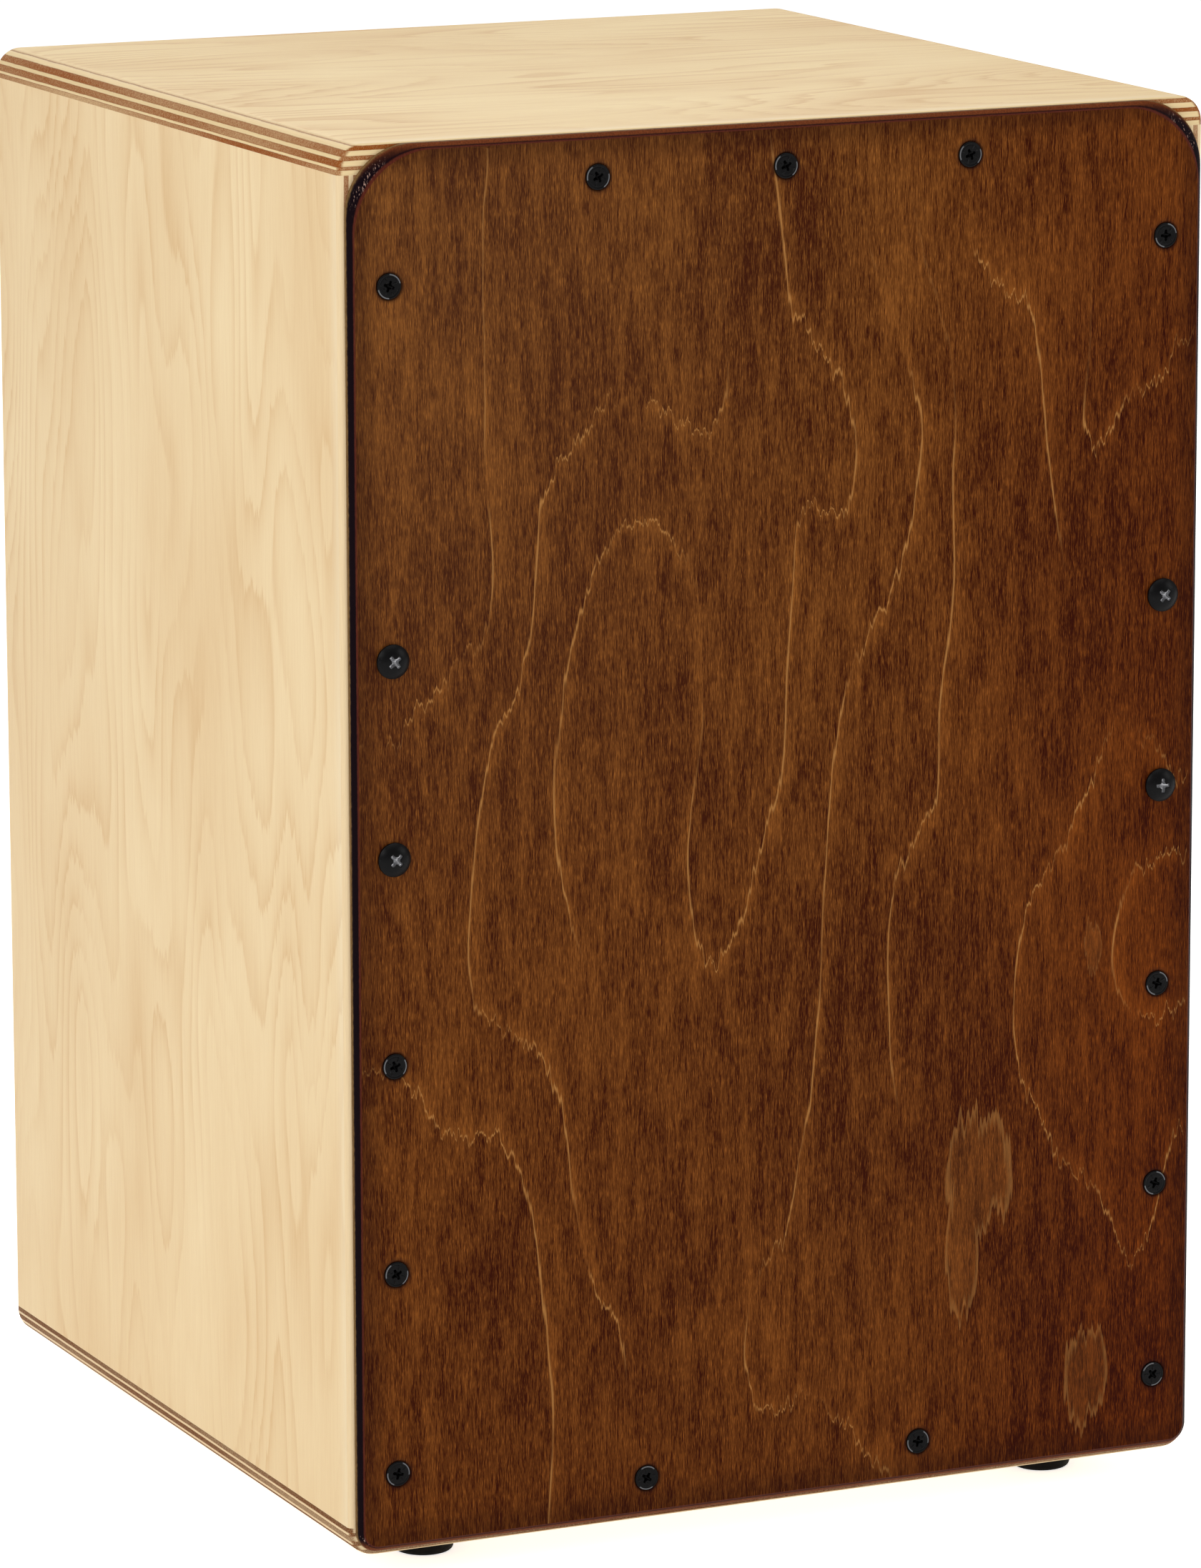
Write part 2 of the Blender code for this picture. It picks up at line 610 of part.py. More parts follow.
rail_bore = bore_profile(RAIL_SCREW_RADIUS, rail_screw_length, RAIL_SCREW_HEAD_HEIGHT)
rail_cutter = drill("rail_screw_cutter", [(rail_bore, spot) for _, spot in rail_screws], 0.0)
for workpiece in (snare_rail, *rail_blocks):
    cut(workpiece, rail_cutter)
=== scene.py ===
# %% [markdown]
# # A cajon in birch plywood
# A cajon is a box drum. The player sits on it and strikes the thin stained plate at its front, the air
# leaves through a round hole at the back, and a set of coiled snare wires buzzes behind the plate.
# The box is made of thick birch plywood, and the plate is a thin veneered board held by black screws.
# This lesson gives each piece of the drum its finished surface and its finish. The sizes come from the
# drum's own frame, so that every surface stays where the joiner put it.

# %% Load the frame
import math

import bmesh
import bpy
import numpy as np
from mathutils import Matrix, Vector
from mathutils.geometry import delaunay_2d_cdt


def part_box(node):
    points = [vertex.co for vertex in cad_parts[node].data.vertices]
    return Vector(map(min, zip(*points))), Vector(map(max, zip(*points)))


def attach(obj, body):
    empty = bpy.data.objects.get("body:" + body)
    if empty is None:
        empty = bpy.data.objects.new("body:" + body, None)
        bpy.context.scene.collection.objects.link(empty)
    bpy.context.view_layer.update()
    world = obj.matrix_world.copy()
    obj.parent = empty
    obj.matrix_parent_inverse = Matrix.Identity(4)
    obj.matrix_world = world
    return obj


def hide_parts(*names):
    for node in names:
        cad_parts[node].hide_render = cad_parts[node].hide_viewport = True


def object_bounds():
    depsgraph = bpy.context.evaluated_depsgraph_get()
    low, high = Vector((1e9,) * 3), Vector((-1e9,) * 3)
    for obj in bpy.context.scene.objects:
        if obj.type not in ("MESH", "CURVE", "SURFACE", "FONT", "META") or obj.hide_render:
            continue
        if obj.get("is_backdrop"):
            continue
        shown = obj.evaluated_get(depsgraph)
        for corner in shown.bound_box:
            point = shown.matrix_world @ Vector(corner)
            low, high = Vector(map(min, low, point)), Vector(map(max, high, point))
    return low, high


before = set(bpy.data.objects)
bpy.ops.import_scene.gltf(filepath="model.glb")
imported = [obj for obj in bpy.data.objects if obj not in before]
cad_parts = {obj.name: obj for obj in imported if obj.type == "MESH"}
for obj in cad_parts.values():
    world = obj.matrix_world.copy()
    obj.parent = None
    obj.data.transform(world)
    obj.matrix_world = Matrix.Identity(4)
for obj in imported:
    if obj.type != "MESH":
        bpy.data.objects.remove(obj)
cad_low, cad_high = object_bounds()
print("the drum measures", [round(size, 4) for size in cad_high - cad_low], "m")

# %% [markdown]
# ## Where the viewer stands
# A long lens from across the room keeps the drum's upright edges almost parallel. The eye is a little
# above the drum and to its left, so that the front, the left side and the top all show.
# The camera is turned down and to the right by plain angles instead of being aimed at a target,
# because then its small tilt can be set as well.

# %% The camera
EYE = (-1.0902, -2.3739, 0.7542)
HEADING, DIP, TILT = math.radians(24.75), math.radians(11.58), math.radians(-0.14)
LENS_MM = 183.6

camera = bpy.data.objects.new("camera", bpy.data.cameras.new("camera"))
bpy.context.scene.collection.objects.link(camera)
camera.data.lens = LENS_MM
camera.data.clip_end = 100
turn = Matrix.Rotation(-HEADING, 4, "Z") @ Matrix.Rotation(math.pi / 2 - DIP, 4, "X")
camera.matrix_world = Matrix.Translation(EYE) @ turn @ Matrix.Rotation(TILT, 4, "Z")
bpy.context.scene.camera = camera
bpy.context.scene.view_settings.view_transform = "Standard"
print("the camera stands", round(math.dist(EYE, (0, 0, 0)), 2), "m away")

# %% [markdown]
# ## The studio
# The drum stands on white card in white light from all round. Four large lamps give it form: one from
# the left and front, which the side panel faces, a weaker one from the right, one from above, and one
# from behind for whoever walks round the drum. None of them shows itself. The card looks brighter to
# the camera than it is to the drum, as a card in its own light does, and it is clear from below, so
# that the drum's underside can be looked at through it.

# %% The studio
def new_finish(name):
    """A material that still has the plain Principled shader that it was born with."""
    made = bpy.data.materials.new(name)
    made.use_nodes = True
    return made


def white_card(half):
    """A flat square on the ground that is clear when it is seen from below."""
    mesh = bpy.data.meshes.new("card")
    corners = [(-half, -half, 0), (half, -half, 0), (half, half, 0), (-half, half, 0)]
    mesh.from_pydata(corners, [], [(0, 1, 2, 3)])
    made = new_finish("white_card")
    nodes, links = made.node_tree.nodes, made.node_tree.links
    shader = nodes["Principled BSDF"]
    for name, value in (("Base Color", (0.92, 0.92, 0.92, 1)), ("Roughness", 0.9),
                        ("Specular IOR Level", 0.0), ("Emission Color", (1, 1, 1, 1))):
        shader.inputs[name].default_value = value
    rays = nodes.new("ShaderNodeLightPath")
    glow = nodes.new("ShaderNodeMapRange")
    glow.inputs["To Min"].default_value = 0.36
    glow.inputs["To Max"].default_value = 0.72
    links.new(rays.outputs["Is Camera Ray"], glow.inputs["Value"])
    links.new(glow.outputs["Result"], shader.inputs["Emission Strength"])
    side = nodes.new("ShaderNodeNewGeometry")
    clear = nodes.new("ShaderNodeBsdfTransparent")
    blend = nodes.new("ShaderNodeMixShader")
    links.new(side.outputs["Backfacing"], blend.inputs["Fac"])
    links.new(shader.outputs["BSDF"], blend.inputs[1])
    links.new(clear.outputs["BSDF"], blend.inputs[2])
    links.new(blend.outputs["Shader"], nodes["Material Output"].inputs["Surface"])
    mesh.materials.append(made)
    card = bpy.data.objects.new("floor", mesh)
    bpy.context.scene.collection.objects.link(card)
    card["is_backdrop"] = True


def soft_lamp(name, place, aim, size, watts):
    """A large square lamp at a place, turned to shine at a point, that the camera doesn't see."""
    lamp = bpy.data.objects.new(name, bpy.data.lights.new(name, "AREA"))
    bpy.context.scene.collection.objects.link(lamp)
    lamp.data.size = size
    lamp.data.energy = watts
    lamp.visible_camera = False
    shine = np.array(aim) - np.array(place)
    heading, height = math.atan2(shine[1], shine[0]), math.atan2(shine[2], math.hypot(shine[0], shine[1]))
    lamp.rotation_euler = (height + math.pi / 2, 0, heading - math.pi / 2)
    lamp.location = place


white_card(40)
middle = tuple((cad_low + cad_high) / 2)
soft_lamp("left_lamp", (-2.6, -1.6, 2.1), middle, 1.8, 31)
soft_lamp("right_lamp", (2.6, -1.8, 1.6), middle, 1.6, 13)
soft_lamp("back_lamp", (0.8, 2.8, 2.2), middle, 2.0, 30)
soft_lamp("top_lamp", (0.1, -0.4, 2.8), middle, 2.4, 20)

sky = bpy.data.worlds.new("white_room")
bpy.context.scene.world = sky
sky.use_nodes = True
background = sky.node_tree.nodes["Background"]
background.inputs["Color"].default_value = (1, 1, 1, 1)
background.inputs["Strength"].default_value = 0.36

# %% [markdown]
# ## Writing a finish as formulas
# A finish is a small network of nodes. Long networks are easier to read when they are written as sums
# and products, so a value in the network gets a Python class whose + and * add the nodes for them.

# %% Values that change over a surface
def feed(tree, socket, value):
    """Gives a socket a value: a link if it is one that changes over the surface, or else a constant."""
    if isinstance(value, Value):
        tree.links.new(value.socket, socket)
    elif isinstance(value, bpy.types.NodeSocket):
        tree.links.new(value, socket)
    else:
        socket.default_value = value


def add_node(tree, kind, settings=None, **inputs):
    """A node with its settings, and its inputs by name, with _ for the spaces in a name."""
    node = tree.nodes.new("ShaderNode" + kind)
    for name, value in (settings or {}).items():
        setattr(node, name, value)
    for name, value in inputs.items():
        feed(tree, node.inputs[name.replace("_", " ")], value)
    return node


class Value:
    """A number that changes over a surface. Sums, products and limits of it add the nodes for them."""

    def __init__(self, tree, socket):
        self.tree, self.socket = tree, socket

    def work(self, operation, *operands):
        node = self.tree.nodes.new("ShaderNodeMath")
        node.operation = operation
        for socket, operand in zip(node.inputs, operands):
            feed(self.tree, socket, operand)
        return Value(self.tree, node.outputs[0])

    def __add__(self, other):
        return self.work("ADD", self, other)

    __radd__ = __add__

    def __sub__(self, other):
        return self.work("SUBTRACT", self, other)

    def __rsub__(self, other):
        return self.work("SUBTRACT", other, self)

    def __mul__(self, other):
        return self.work("MULTIPLY", self, other)

    __rmul__ = __mul__

    def __truediv__(self, other):
        return self.work("DIVIDE", self, other)

    def __mod__(self, other):
        return self.work("FLOORED_MODULO", self, other)

    def __pow__(self, other):
        return self.work("POWER", self, other)

    def __abs__(self):
        return self.work("ABSOLUTE", self)

    def __gt__(self, other):
        return self.work("GREATER_THAN", self, other)

    def floor(self):
        return self.work("FLOOR", self)

    def least(self, other):
        return self.work("MINIMUM", self, other)

    def most(self, other):
        return self.work("MAXIMUM", self, other)

    def limited(self):
        """The value itself, but never under 0 or over 1."""
        return self.most(0.0).least(1.0)

    def bell(self):
        """e to the minus of the value's square: 1 at 0, and a smooth fall to nothing at about 2."""
        return self.work("EXPONENT", self * self * -1.0)

    def fade(self, start, end):
        """0 at start and 1 at end, with a smooth step between them. start may be the larger."""
        node = add_node(self.tree, "MapRange", {"interpolation_type": "SMOOTHSTEP"})
        low, high = min(start, end), max(start, end)
        for name, value in (("Value", self), ("From Min", low), ("From Max", high)):
            feed(self.tree, node.inputs[name], value)
        step = Value(self.tree, node.outputs["Result"])
        return step if start < end else 1.0 - step


# %% Noise and colours
def noise(tree, across, along, deep, detail=2.0, roughness=0.5):
    """Smooth noise from 0 to 1, mostly near 0.5, with bumps one unit apart in each direction."""
    point = add_node(tree, "CombineXYZ", X=across, Y=along, Z=deep)
    made = add_node(tree, "TexNoise", Vector=point.outputs["Vector"], Scale=1.0, Detail=detail,
                    Roughness=roughness)
    return Value(tree, made.outputs["Fac"])


def paint(red, green, blue):
    """A colour from its red, green and blue on a scale of 255, as a painter's chart gives them, in the
    straight light values that a shader takes."""
    chart = np.array((red, green, blue)) / 255
    light = np.where(chart <= 0.04045, chart / 12.92, ((chart + 0.055) / 1.055) ** 2.4)
    return (*[float(part) for part in light], 1.0)


def mix(tree, share, first, second, way="MIX"):
    """The first colour where share is 0 and the second where it is 1."""
    node = add_node(tree, "Mix", {"data_type": "RGBA", "blend_type": way})
    for index, value in ((0, share), (6, first), (7, second)):
        feed(tree, node.inputs[index], value)
    return node.outputs[2]


print("white is", paint(255, 255, 255)[:3], "and half of it to the eye is", round(paint(128, 128, 128)[0], 3))


# %% Shader groups
def start_group(name, numbers, colours, results):
    """An empty shader group with its inputs and outputs, and its inputs as values and sockets."""
    tree = bpy.data.node_groups.new(name, "ShaderNodeTree")
    for label in numbers:
        tree.interface.new_socket(label, in_out="INPUT", socket_type="NodeSocketFloat")
    for label in colours:
        tree.interface.new_socket(label, in_out="INPUT", socket_type="NodeSocketColor")
    for label, kind in results.items():
        tree.interface.new_socket(label, in_out="OUTPUT", socket_type="NodeSocket" + kind)
    enter = tree.nodes.new("NodeGroupInput")
    tree.nodes.new("NodeGroupOutput")
    inputs = {label: Value(tree, enter.outputs[label]) for label in numbers}
    inputs.update({label: enter.outputs[label] for label in colours})
    return tree, inputs


def end_group(tree, **results):
    """Feeds a group's outputs, by name, with _ for the spaces in a name."""
    leave = next(node for node in tree.nodes if node.type == "GROUP_OUTPUT")
    for label, value in results.items():
        feed(tree, leave.inputs[label.replace("_", " ")], value)
    print("group", tree.name, "has", len(tree.nodes), "nodes")
    return tree


def use_group(tree, group, **inputs):
    """Places a group in a material, with its inputs by name."""
    node = tree.nodes.new("ShaderNodeGroup")
    node.node_tree = group
    for label, value in inputs.items():
        feed(tree, node.inputs[label.replace("_", " ")], value)
    return node


# %% [markdown]
# ## The figure of peeled veneer
# Birch veneer is peeled off a turning log in one long sheet. The knife cuts through the growth rings
# at a very flat angle, so each ring shows as a line that wanders like a contour on a map: long and
# calm along the grain, and torn into teeth where it turns across it, because the fibres there end at
# different lengths. The same map of noise can give all of this. Its contours are the rings, and a
# fibre noise, fast across the grain and slow along it, pushes the map up and down before it is read.
# Two finer noises give the streaks and the short flecks that show in any light.

# %% The veneer group
def veneer_group():
    """Rings is the map's height, in rings. Its contours at whole numbers are the growth lines.
    Streak, Fleck and Cloud run from 0 to 1. All lengths are in millimetres."""
    tree, give = start_group(
        "peeled_veneer", ("Across", "Along", "Seed", "Hill Width", "Hill Length", "Rings", "Teeth"), (),
        {"Rings": "Float", "Torn": "Float", "Streak": "Float", "Fleck": "Float", "Cloud": "Float"})
    across, along, seed = give["Across"], give["Along"], give["Seed"]
    coarse = noise(tree, across / 3.2, along / 70, seed + 3.1, 2.0) - 0.5
    fine = noise(tree, across / 1.1, along / 40, seed + 7.7, 2.0) - 0.5
    torn = (coarse + fine * 0.8) * give["Teeth"]
    height = noise(tree, across / give["Hill Width"], (along + torn) / give["Hill Length"], seed, 2.2, 0.42)
    streak = noise(tree, across / 0.8, along / 24, seed + 1.3, 3.0, 0.65)
    fleck = noise(tree, across / 0.24, along / 3.2, seed + 5.9, 2.0, 0.65)
    cloud = noise(tree, across / 55, along / 120, seed + 9.2, 2.0)
    return end_group(tree, Rings=height * give["Rings"], Torn=torn, Streak=streak, Fleck=fleck, Cloud=cloud)


PEELED_VENEER = veneer_group()

# %% [markdown]
# ## Plywood as a solid
# The rounded edges of the box are cut through seven plies, and the stripes there aren't paint: each
# stripe is a ply that comes to the surface. So the plywood is made as a solid. At any point of the
# surface, the depth below the panel's face says which ply it lies in. The plies' grain turns by a
# right angle from one to the next. Where the surface cuts across the fibres of its ply, the ply drinks
# up the varnish and is brown, and where it runs along them it is as pale as the face.
# The group needs only the depth, the place along the two grain directions, and how squarely the
# surface faces each of them.

# %% The plywood group
GLUE_MM, FIBRE_MM, FIBRE_RUN_MM = 0.10, 0.28, 17.0
FRONT_HIGHLIGHT_MM = 9.0


def plywood_group(name, borders):
    """The borders between the plies are depths in millimetres, measured like Depth from the outer
    face. Face End and Cross End say how squarely the surface cuts the fibres of the plies that run
    like the face and across it, from 0 to 1."""
    tree, give = start_group(
        name, ("Across", "Along", "Depth", "Face End", "Cross End", "Seed", "Margin"),
        ("Cream", "Tan", "Cut Fibre"), {"Color": "Color", "Roughness": "Float", "Height": "Float"})
    across, along, seed = give["Across"], give["Along"], give["Seed"]
    waver = noise(tree, across / 14, along / 14, give["Depth"] / 9, 2.0) - 0.5
    ragged = noise(tree, across / 1.6, along / 1.6, give["Depth"] / 1.6, 2.0, 0.6) - 0.5
    level = give["Depth"] + waver * 0.22 + ragged * 0.14
    ply, between = level > borders[0], abs(level - borders[0])
    for border in borders[1:]:
        ply = ply + (level > border)
        between = between.least(abs(level - border))
    crossed = ply % 2.0
    cut = (give["Face End"] * (1.0 - crossed) + give["Cross End"] * crossed).fade(0.18, 0.62)

    # The face: rings with a brown edge that fades out on one side, streaks and slow clouds.
    face = use_group(tree, PEELED_VENEER, Across=across, Along=along, Seed=seed + ply * 11.3,
                     Hill_Width=95.0, Hill_Length=420.0, Rings=30.0, Teeth=16.0)
    rings, streak, fleck, cloud = (Value(tree, face.outputs[name]) for name in
                                   ("Rings", "Streak", "Fleck", "Cloud"))
    phase = rings % 1.0
    band = (1.0 - phase) ** 3.0 * phase.fade(0.0, 0.09)
    strength = noise(tree, across / 60, along / 90, seed + 21.0, 1.0).fade(0.32, 0.62)
    shade = band * (strength * 0.8 + 0.2) * 0.40 + (streak - 0.5) * 0.34 + (cloud - 0.5) * 0.60
    shade = (shade + (fleck - 0.5) * 0.14 + 0.17).limited()
    flat = mix(tree, shade, give["Cream"], give["Tan"])

    # A cut ply: fibres that run into the surface give fine dots, and fibres along it give lines.
    run_across = across / (crossed * FIBRE_RUN_MM + FIBRE_MM)
    run_along = along / (FIBRE_RUN_MM + FIBRE_MM - crossed * FIBRE_RUN_MM)
    fibre = noise(tree, run_across, run_along, give["Depth"] / 0.30 + ply * 5.0, 3.0, 0.6)
    ply_tone = noise(tree, ply * 3.7 + seed, across / 160, along / 160, 1.0)
    dark = cut * (ply_tone + 0.24) + (fibre - 0.5) * (cut * 0.9 + 0.30) + 0.10
    edge = mix(tree, dark.limited(), give["Cream"], give["Cut Fibre"])
    inside = give["Face End"].most(give["Cross End"]).fade(0.12, 0.30)
    colour = mix(tree, inside, flat, edge)

    # Thin dark glue lines between the plies, only where the surface cuts them.
    glue = between.fade(GLUE_MM * 2.0, GLUE_MM * 0.5) * inside * (fibre * 0.9 + 0.10)
    colour = mix(tree, glue, colour, paint(142, 76, 30))

    # Painted highlight: the faces are a little paler within a few millimetres of the front edge, beside the
    # plate.
    pale = give["Margin"].fade(FRONT_HIGHLIGHT_MM, 1.0) * 0.35
    colour = mix(tree, pale * (1.0 - inside), colour, paint(255, 240, 208))
    rough = 0.34 + (fleck - 0.5) * 0.12 + cut * inside * 0.22
    height = (fleck - 0.5) * 0.35 + (streak - 0.5) * 0.4 + (fibre - 0.5) * inside * 1.6 - glue
    return end_group(tree, Color=colour, Roughness=rough, Height=height)


PLYWOOD = plywood_group("plywood_of_seven", (0.70, 2.05, 3.80, 5.05, 7.00, 7.95))
THIN_PLYWOOD = plywood_group("plywood_of_five", (0.60, 2.05, 3.95, 5.40))

# %% [markdown]
# ## Birch panels
# Every panel of the box is the same plywood laid a different way. The top and the bottom have their
# face grain from left to right, the sides and the back have it upright. One function makes the
# material of a panel from the directions of its grain and of its thickness.

# %% Birch materials
AXES = {"X": 0, "Y": 1, "Z": 2}


def read_place(tree):
    """The place on the surface in millimetres, and the way that it faces, as three values each."""
    where = add_node(tree, "SeparateXYZ", Vector=add_node(tree, "TexCoord").outputs["Object"])
    facing = add_node(tree, "SeparateXYZ", Vector=add_node(tree, "NewGeometry").outputs["Normal"])
    return ([Value(tree, where.outputs[axis]) * 1000.0 for axis in "XYZ"],
            [abs(Value(tree, facing.outputs[axis])) for axis in "XYZ"])


def finish_with(tree, colour, roughness, height, lift, **constants):
    """Feeds a material's Principled shader. lift is how far, in metres, a height of 1 stands up."""
    shader = tree.nodes["Principled BSDF"]
    feed(tree, shader.inputs["Base Color"], colour)
    feed(tree, shader.inputs["Roughness"], roughness)
    if height is not None:
        bump = add_node(tree, "Bump", Height=height, Distance=lift, Strength=1.0)
        feed(tree, shader.inputs["Normal"], bump.outputs["Normal"])
    for name, value in constants.items():
        shader.inputs[name.replace("_", " ")].default_value = value
    return shader


def birch_panel(name, plies, grain, cross, through, outer, inward, seed, front=None,
                cream=(252, 227, 182), tan=(216, 168, 108), cut_fibre=(150, 78, 24)):
    """Plywood with its face grain along one axis and every second ply's grain across it. The depth
    is the distance inward, +1 or -1, from the outer face's place on the third axis."""
    made = new_finish(name)
    tree = made.node_tree
    place, facing = read_place(tree)
    depth = (place[AXES[through]] - outer * 1000) * inward
    margin = place[1] - front * 1000 if front is not None else 1000.0
    panel = use_group(
        tree, plies, Across=place[AXES[cross]], Along=place[AXES[grain]], Depth=depth,
        Face_End=facing[AXES[grain]], Cross_End=facing[AXES[cross]], Seed=seed, Margin=margin,
        Cream=paint(*cream), Tan=paint(*tan), Cut_Fibre=paint(*cut_fibre))
    finish_with(tree, panel.outputs["Color"], panel.outputs["Roughness"], panel.outputs["Height"],
                0.00005, Specular_IOR_Level=0.03)
    return made


top_low, top_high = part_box("top_panel")
bottom_low, bottom_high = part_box("bottom_panel")
left_low, right_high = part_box("left_side")[0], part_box("right_side")[1]
back_low, back_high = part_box("back_panel")
plate_low, plate_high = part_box("front_plate")
front_y = top_low.y

# The sides have a thicker face ply than the seat, which their soft front edges stay within.
THICKER_FACE = 0.0015
birch_top = birch_panel("birch_top", PLYWOOD, "X", "Y", "Z", top_high.z, -1, 1.0, front_y,
                        cream=(251, 225, 172), tan=(200, 138, 64))
birch_bottom = birch_panel("birch_bottom", PLYWOOD, "X", "Y", "Z", bottom_low.z, 1, 2.0, front_y,
                           cut_fibre=(118, 70, 36))
birch_left = birch_panel("birch_left", PLYWOOD, "Z", "Y", "X", left_low.x + THICKER_FACE, 1, 3.0, front_y)
birch_right = birch_panel("birch_right", PLYWOOD, "Z", "Y", "X", right_high.x - THICKER_FACE, -1, 4.0,
                          front_y)
birch_back = birch_panel("birch_back", THIN_PLYWOOD, "Z", "X", "Y", back_high.y, -1, 5.0)
print("panels are", round((top_high.z - top_low.z) * 1000, 2), "mm thick")

# %% [markdown]
# ## Skinning a grid
# Nearly every piece here is a grid of points: a section carried along a line, a profile turned about
# an axis, or a wire wound into a coil. One function joins such a grid into faces. It can close the
# grid on itself either way, end it in a pole, or cap it with one flat face.

# %% The grid skin
def grid_faces(index, loop=False):
    """Faces between the rows of a grid of point numbers. Face (i, j) joins points (i, j), (i, j + 1),
    (i + 1, j + 1) and (i + 1, j). Each row closes on itself, and a loop's last row joins its first."""
    right = np.roll(index, -1, axis=1)
    rows = slice(None) if loop else slice(0, -1)
    above, above_right = np.roll(index, -1, axis=0), np.roll(right, -1, axis=0)
    quads = np.stack([index[rows], right[rows], above_right[rows], above[rows]], axis=-1)
    return quads.reshape(-1, 4).tolist()


def skin(name, points, finish, loop=False, ends=None, sharp=40.0, marks=None):
    """points is an array of rows of places. ends is "pole" if the first and the last row are one
    point each, or "cap" to close them with a flat face. marks are arrays of a number for each point."""
    rows, columns = points.shape[:2]
    index = np.arange(rows * columns).reshape(rows, columns)
    faces = grid_faces(index, loop)
    if ends == "cap":
        faces += [index[0][::-1].tolist(), index[-1].tolist()]
    return put_mesh(name, points.reshape(-1, 3), faces, finish, sharp, marks, merge=ends == "pole")


def put_mesh(name, places, faces, finish, sharp=40.0, marks=None, merge=False):
    """Puts places and faces into a new object at the origin. merge joins the points of a pole."""
    mesh = bpy.data.meshes.new(name)
    mesh.from_pydata(np.asarray(places, float).tolist(), [], faces)
    for label, numbers in (marks or {}).items():
        mesh.attributes.new(label, "FLOAT", "POINT").data.foreach_set(
            "value", np.asarray(numbers, np.float32).ravel())
    mesh.materials.append(finish)
    mesh.update()
    if merge:
        close_poles(mesh)
    mesh.shade_smooth()
    mesh.set_sharp_from_angle(angle=math.radians(sharp))
    made = bpy.data.objects.new(name, mesh)
    bpy.context.scene.collection.objects.link(made)
    return made


def close_poles(mesh):
    """Joins points that share a place, which turns the thin faces at a pole into triangles."""
    work = bmesh.new()
    work.from_mesh(mesh)
    bmesh.ops.remove_doubles(work, verts=work.verts, dist=1e-7)
    work.to_mesh(mesh)
    work.free()


def stands_for(piece, slot, *nodes):
    """Shows a piece in the place of its frame nodes. The slot is not used."""
    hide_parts(*nodes)
    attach(piece, "root")
    return piece


# %% [markdown]
# ## The box
# The top and the bottom panel are one section carried from front to back. Its outer corners are the
# big rounded edges that make the seat kind to the legs, and its inner corners stay square, because
# the sides are glued there and sanded flush. At the two ends, the section draws in along a quarter
# circle: that is the sandpaper's soft arris. A side is a rectangle with two such soft corners on its
# outside, carried from the bottom panel to the top one, so the arris runs on from piece to piece.

# %% Panels
ARRIS = 0.0004
CORNER_ROUND = 0.0022
EDGE_ROUND = 0.0085
BROAD_SHARE = 0.2
ROUND_STEPS, CORNER_STEPS, END_STEPS = 16, 8, 4


def quarter(steps):
    """Angles from 0 to a right angle."""
    return np.linspace(0, math.pi / 2, steps + 1)


def rounded_section(low, high, radii, steps=ROUND_STEPS):
    """An outline, anticlockwise from the low right corner, with an arc at each corner. A corner's
    arc has its centre one radius in from both sides, and a corner of no radius is one point."""
    corners = ((high[0], low[1], 1, -1, -90), (high[0], high[1], 1, 1, 0),
               (low[0], high[1], -1, 1, 90), (low[0], low[1], -1, -1, 180))
    arcs = []
    for (x, y, side, up, begin), radius in zip(corners, radii):
        angles = math.radians(begin) + quarter(steps if radius else 0)
        arc = radius * np.stack([np.cos(angles), np.sin(angles)], axis=1)
        arcs.append(arc + (x - side * radius, y - up * radius))
    return np.concatenate(arcs)


def soft_end():
    """How far a section is drawn in and how far it stands in from the end, for t over a quarter
    circle of the arris: round * (1 - sin t) and round * (1 - cos t)."""
    t = quarter(END_STEPS)
    return CORNER_ROUND * (1 - np.sin(t)), CORNER_ROUND * (1 - np.cos(t))


def shelf(name, node, up, finish):
    """The top panel if up, or else the bottom one. Near its ends the sides draw in by the whole
    inset and the broad face by a fifth of it, while the inner face stays where it is."""
    low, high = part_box(node)
    radii = (0, EDGE_ROUND, EDGE_ROUND, 0) if up else (EDGE_ROUND, 0, 0, EDGE_ROUND)
    whole = rounded_section((low.x, low.z), (high.x, high.z), radii)
    drawn, stands = soft_end()
    drawn = np.concatenate([drawn, drawn[::-1]])[:, None]
    stations = np.concatenate([low.y + stands, high.y - stands[::-1]])[:, None]
    inner_z = low.z if up else high.z
    x = whole[:, 0] * (1 - drawn / high.x)
    z = inner_z + (whole[:, 1] - inner_z) * (1 - BROAD_SHARE * drawn / (high.z - low.z))
    points = np.stack([x, np.broadcast_to(stations, x.shape), z], axis=-1)
    return stands_for(skin(name, points[::-1], finish, ends="cap", sharp=30), "birch_ply", node)


def wall(name, node, radii, finish):
    """A side of the box: its section from above, carried from the bottom panel to the top one."""
    low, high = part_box(node)
    section = rounded_section((low.x, low.y), (high.x, high.y), radii, CORNER_STEPS)
    rows = np.array([np.insert(section, 2, z, axis=1) for z in (bottom_high.z, top_low.z)])
    return stands_for(skin(name, rows, finish, ends="cap", sharp=30), "birch_ply", node)


shelf("seat_board", "top_panel", True, birch_top)
shelf("base_board", "bottom_panel", False, birch_bottom)
wall("left_wall", "left_side", (ARRIS, ARRIS, CORNER_ROUND, CORNER_ROUND), birch_left)
wall("right_wall", "right_side", (CORNER_ROUND, CORNER_ROUND, ARRIS, ARRIS), birch_right)
print("the soft corners are", CORNER_ROUND * 1000, "mm round")

# %% [markdown]
# ## The back board and its sound hole
# The back board is a rectangle with a round hole. Both its faces are rings between the two outlines,
# so the whole board is one profile carried round the hole: out along the back face, over the outer
# edge, back along the inner face and through the hole. Each point of the circle is joined to the
# point of the rectangle in the same direction.

# %% The back board
HOLE_FACETS, HOLE_EASE = 192, 0.0012


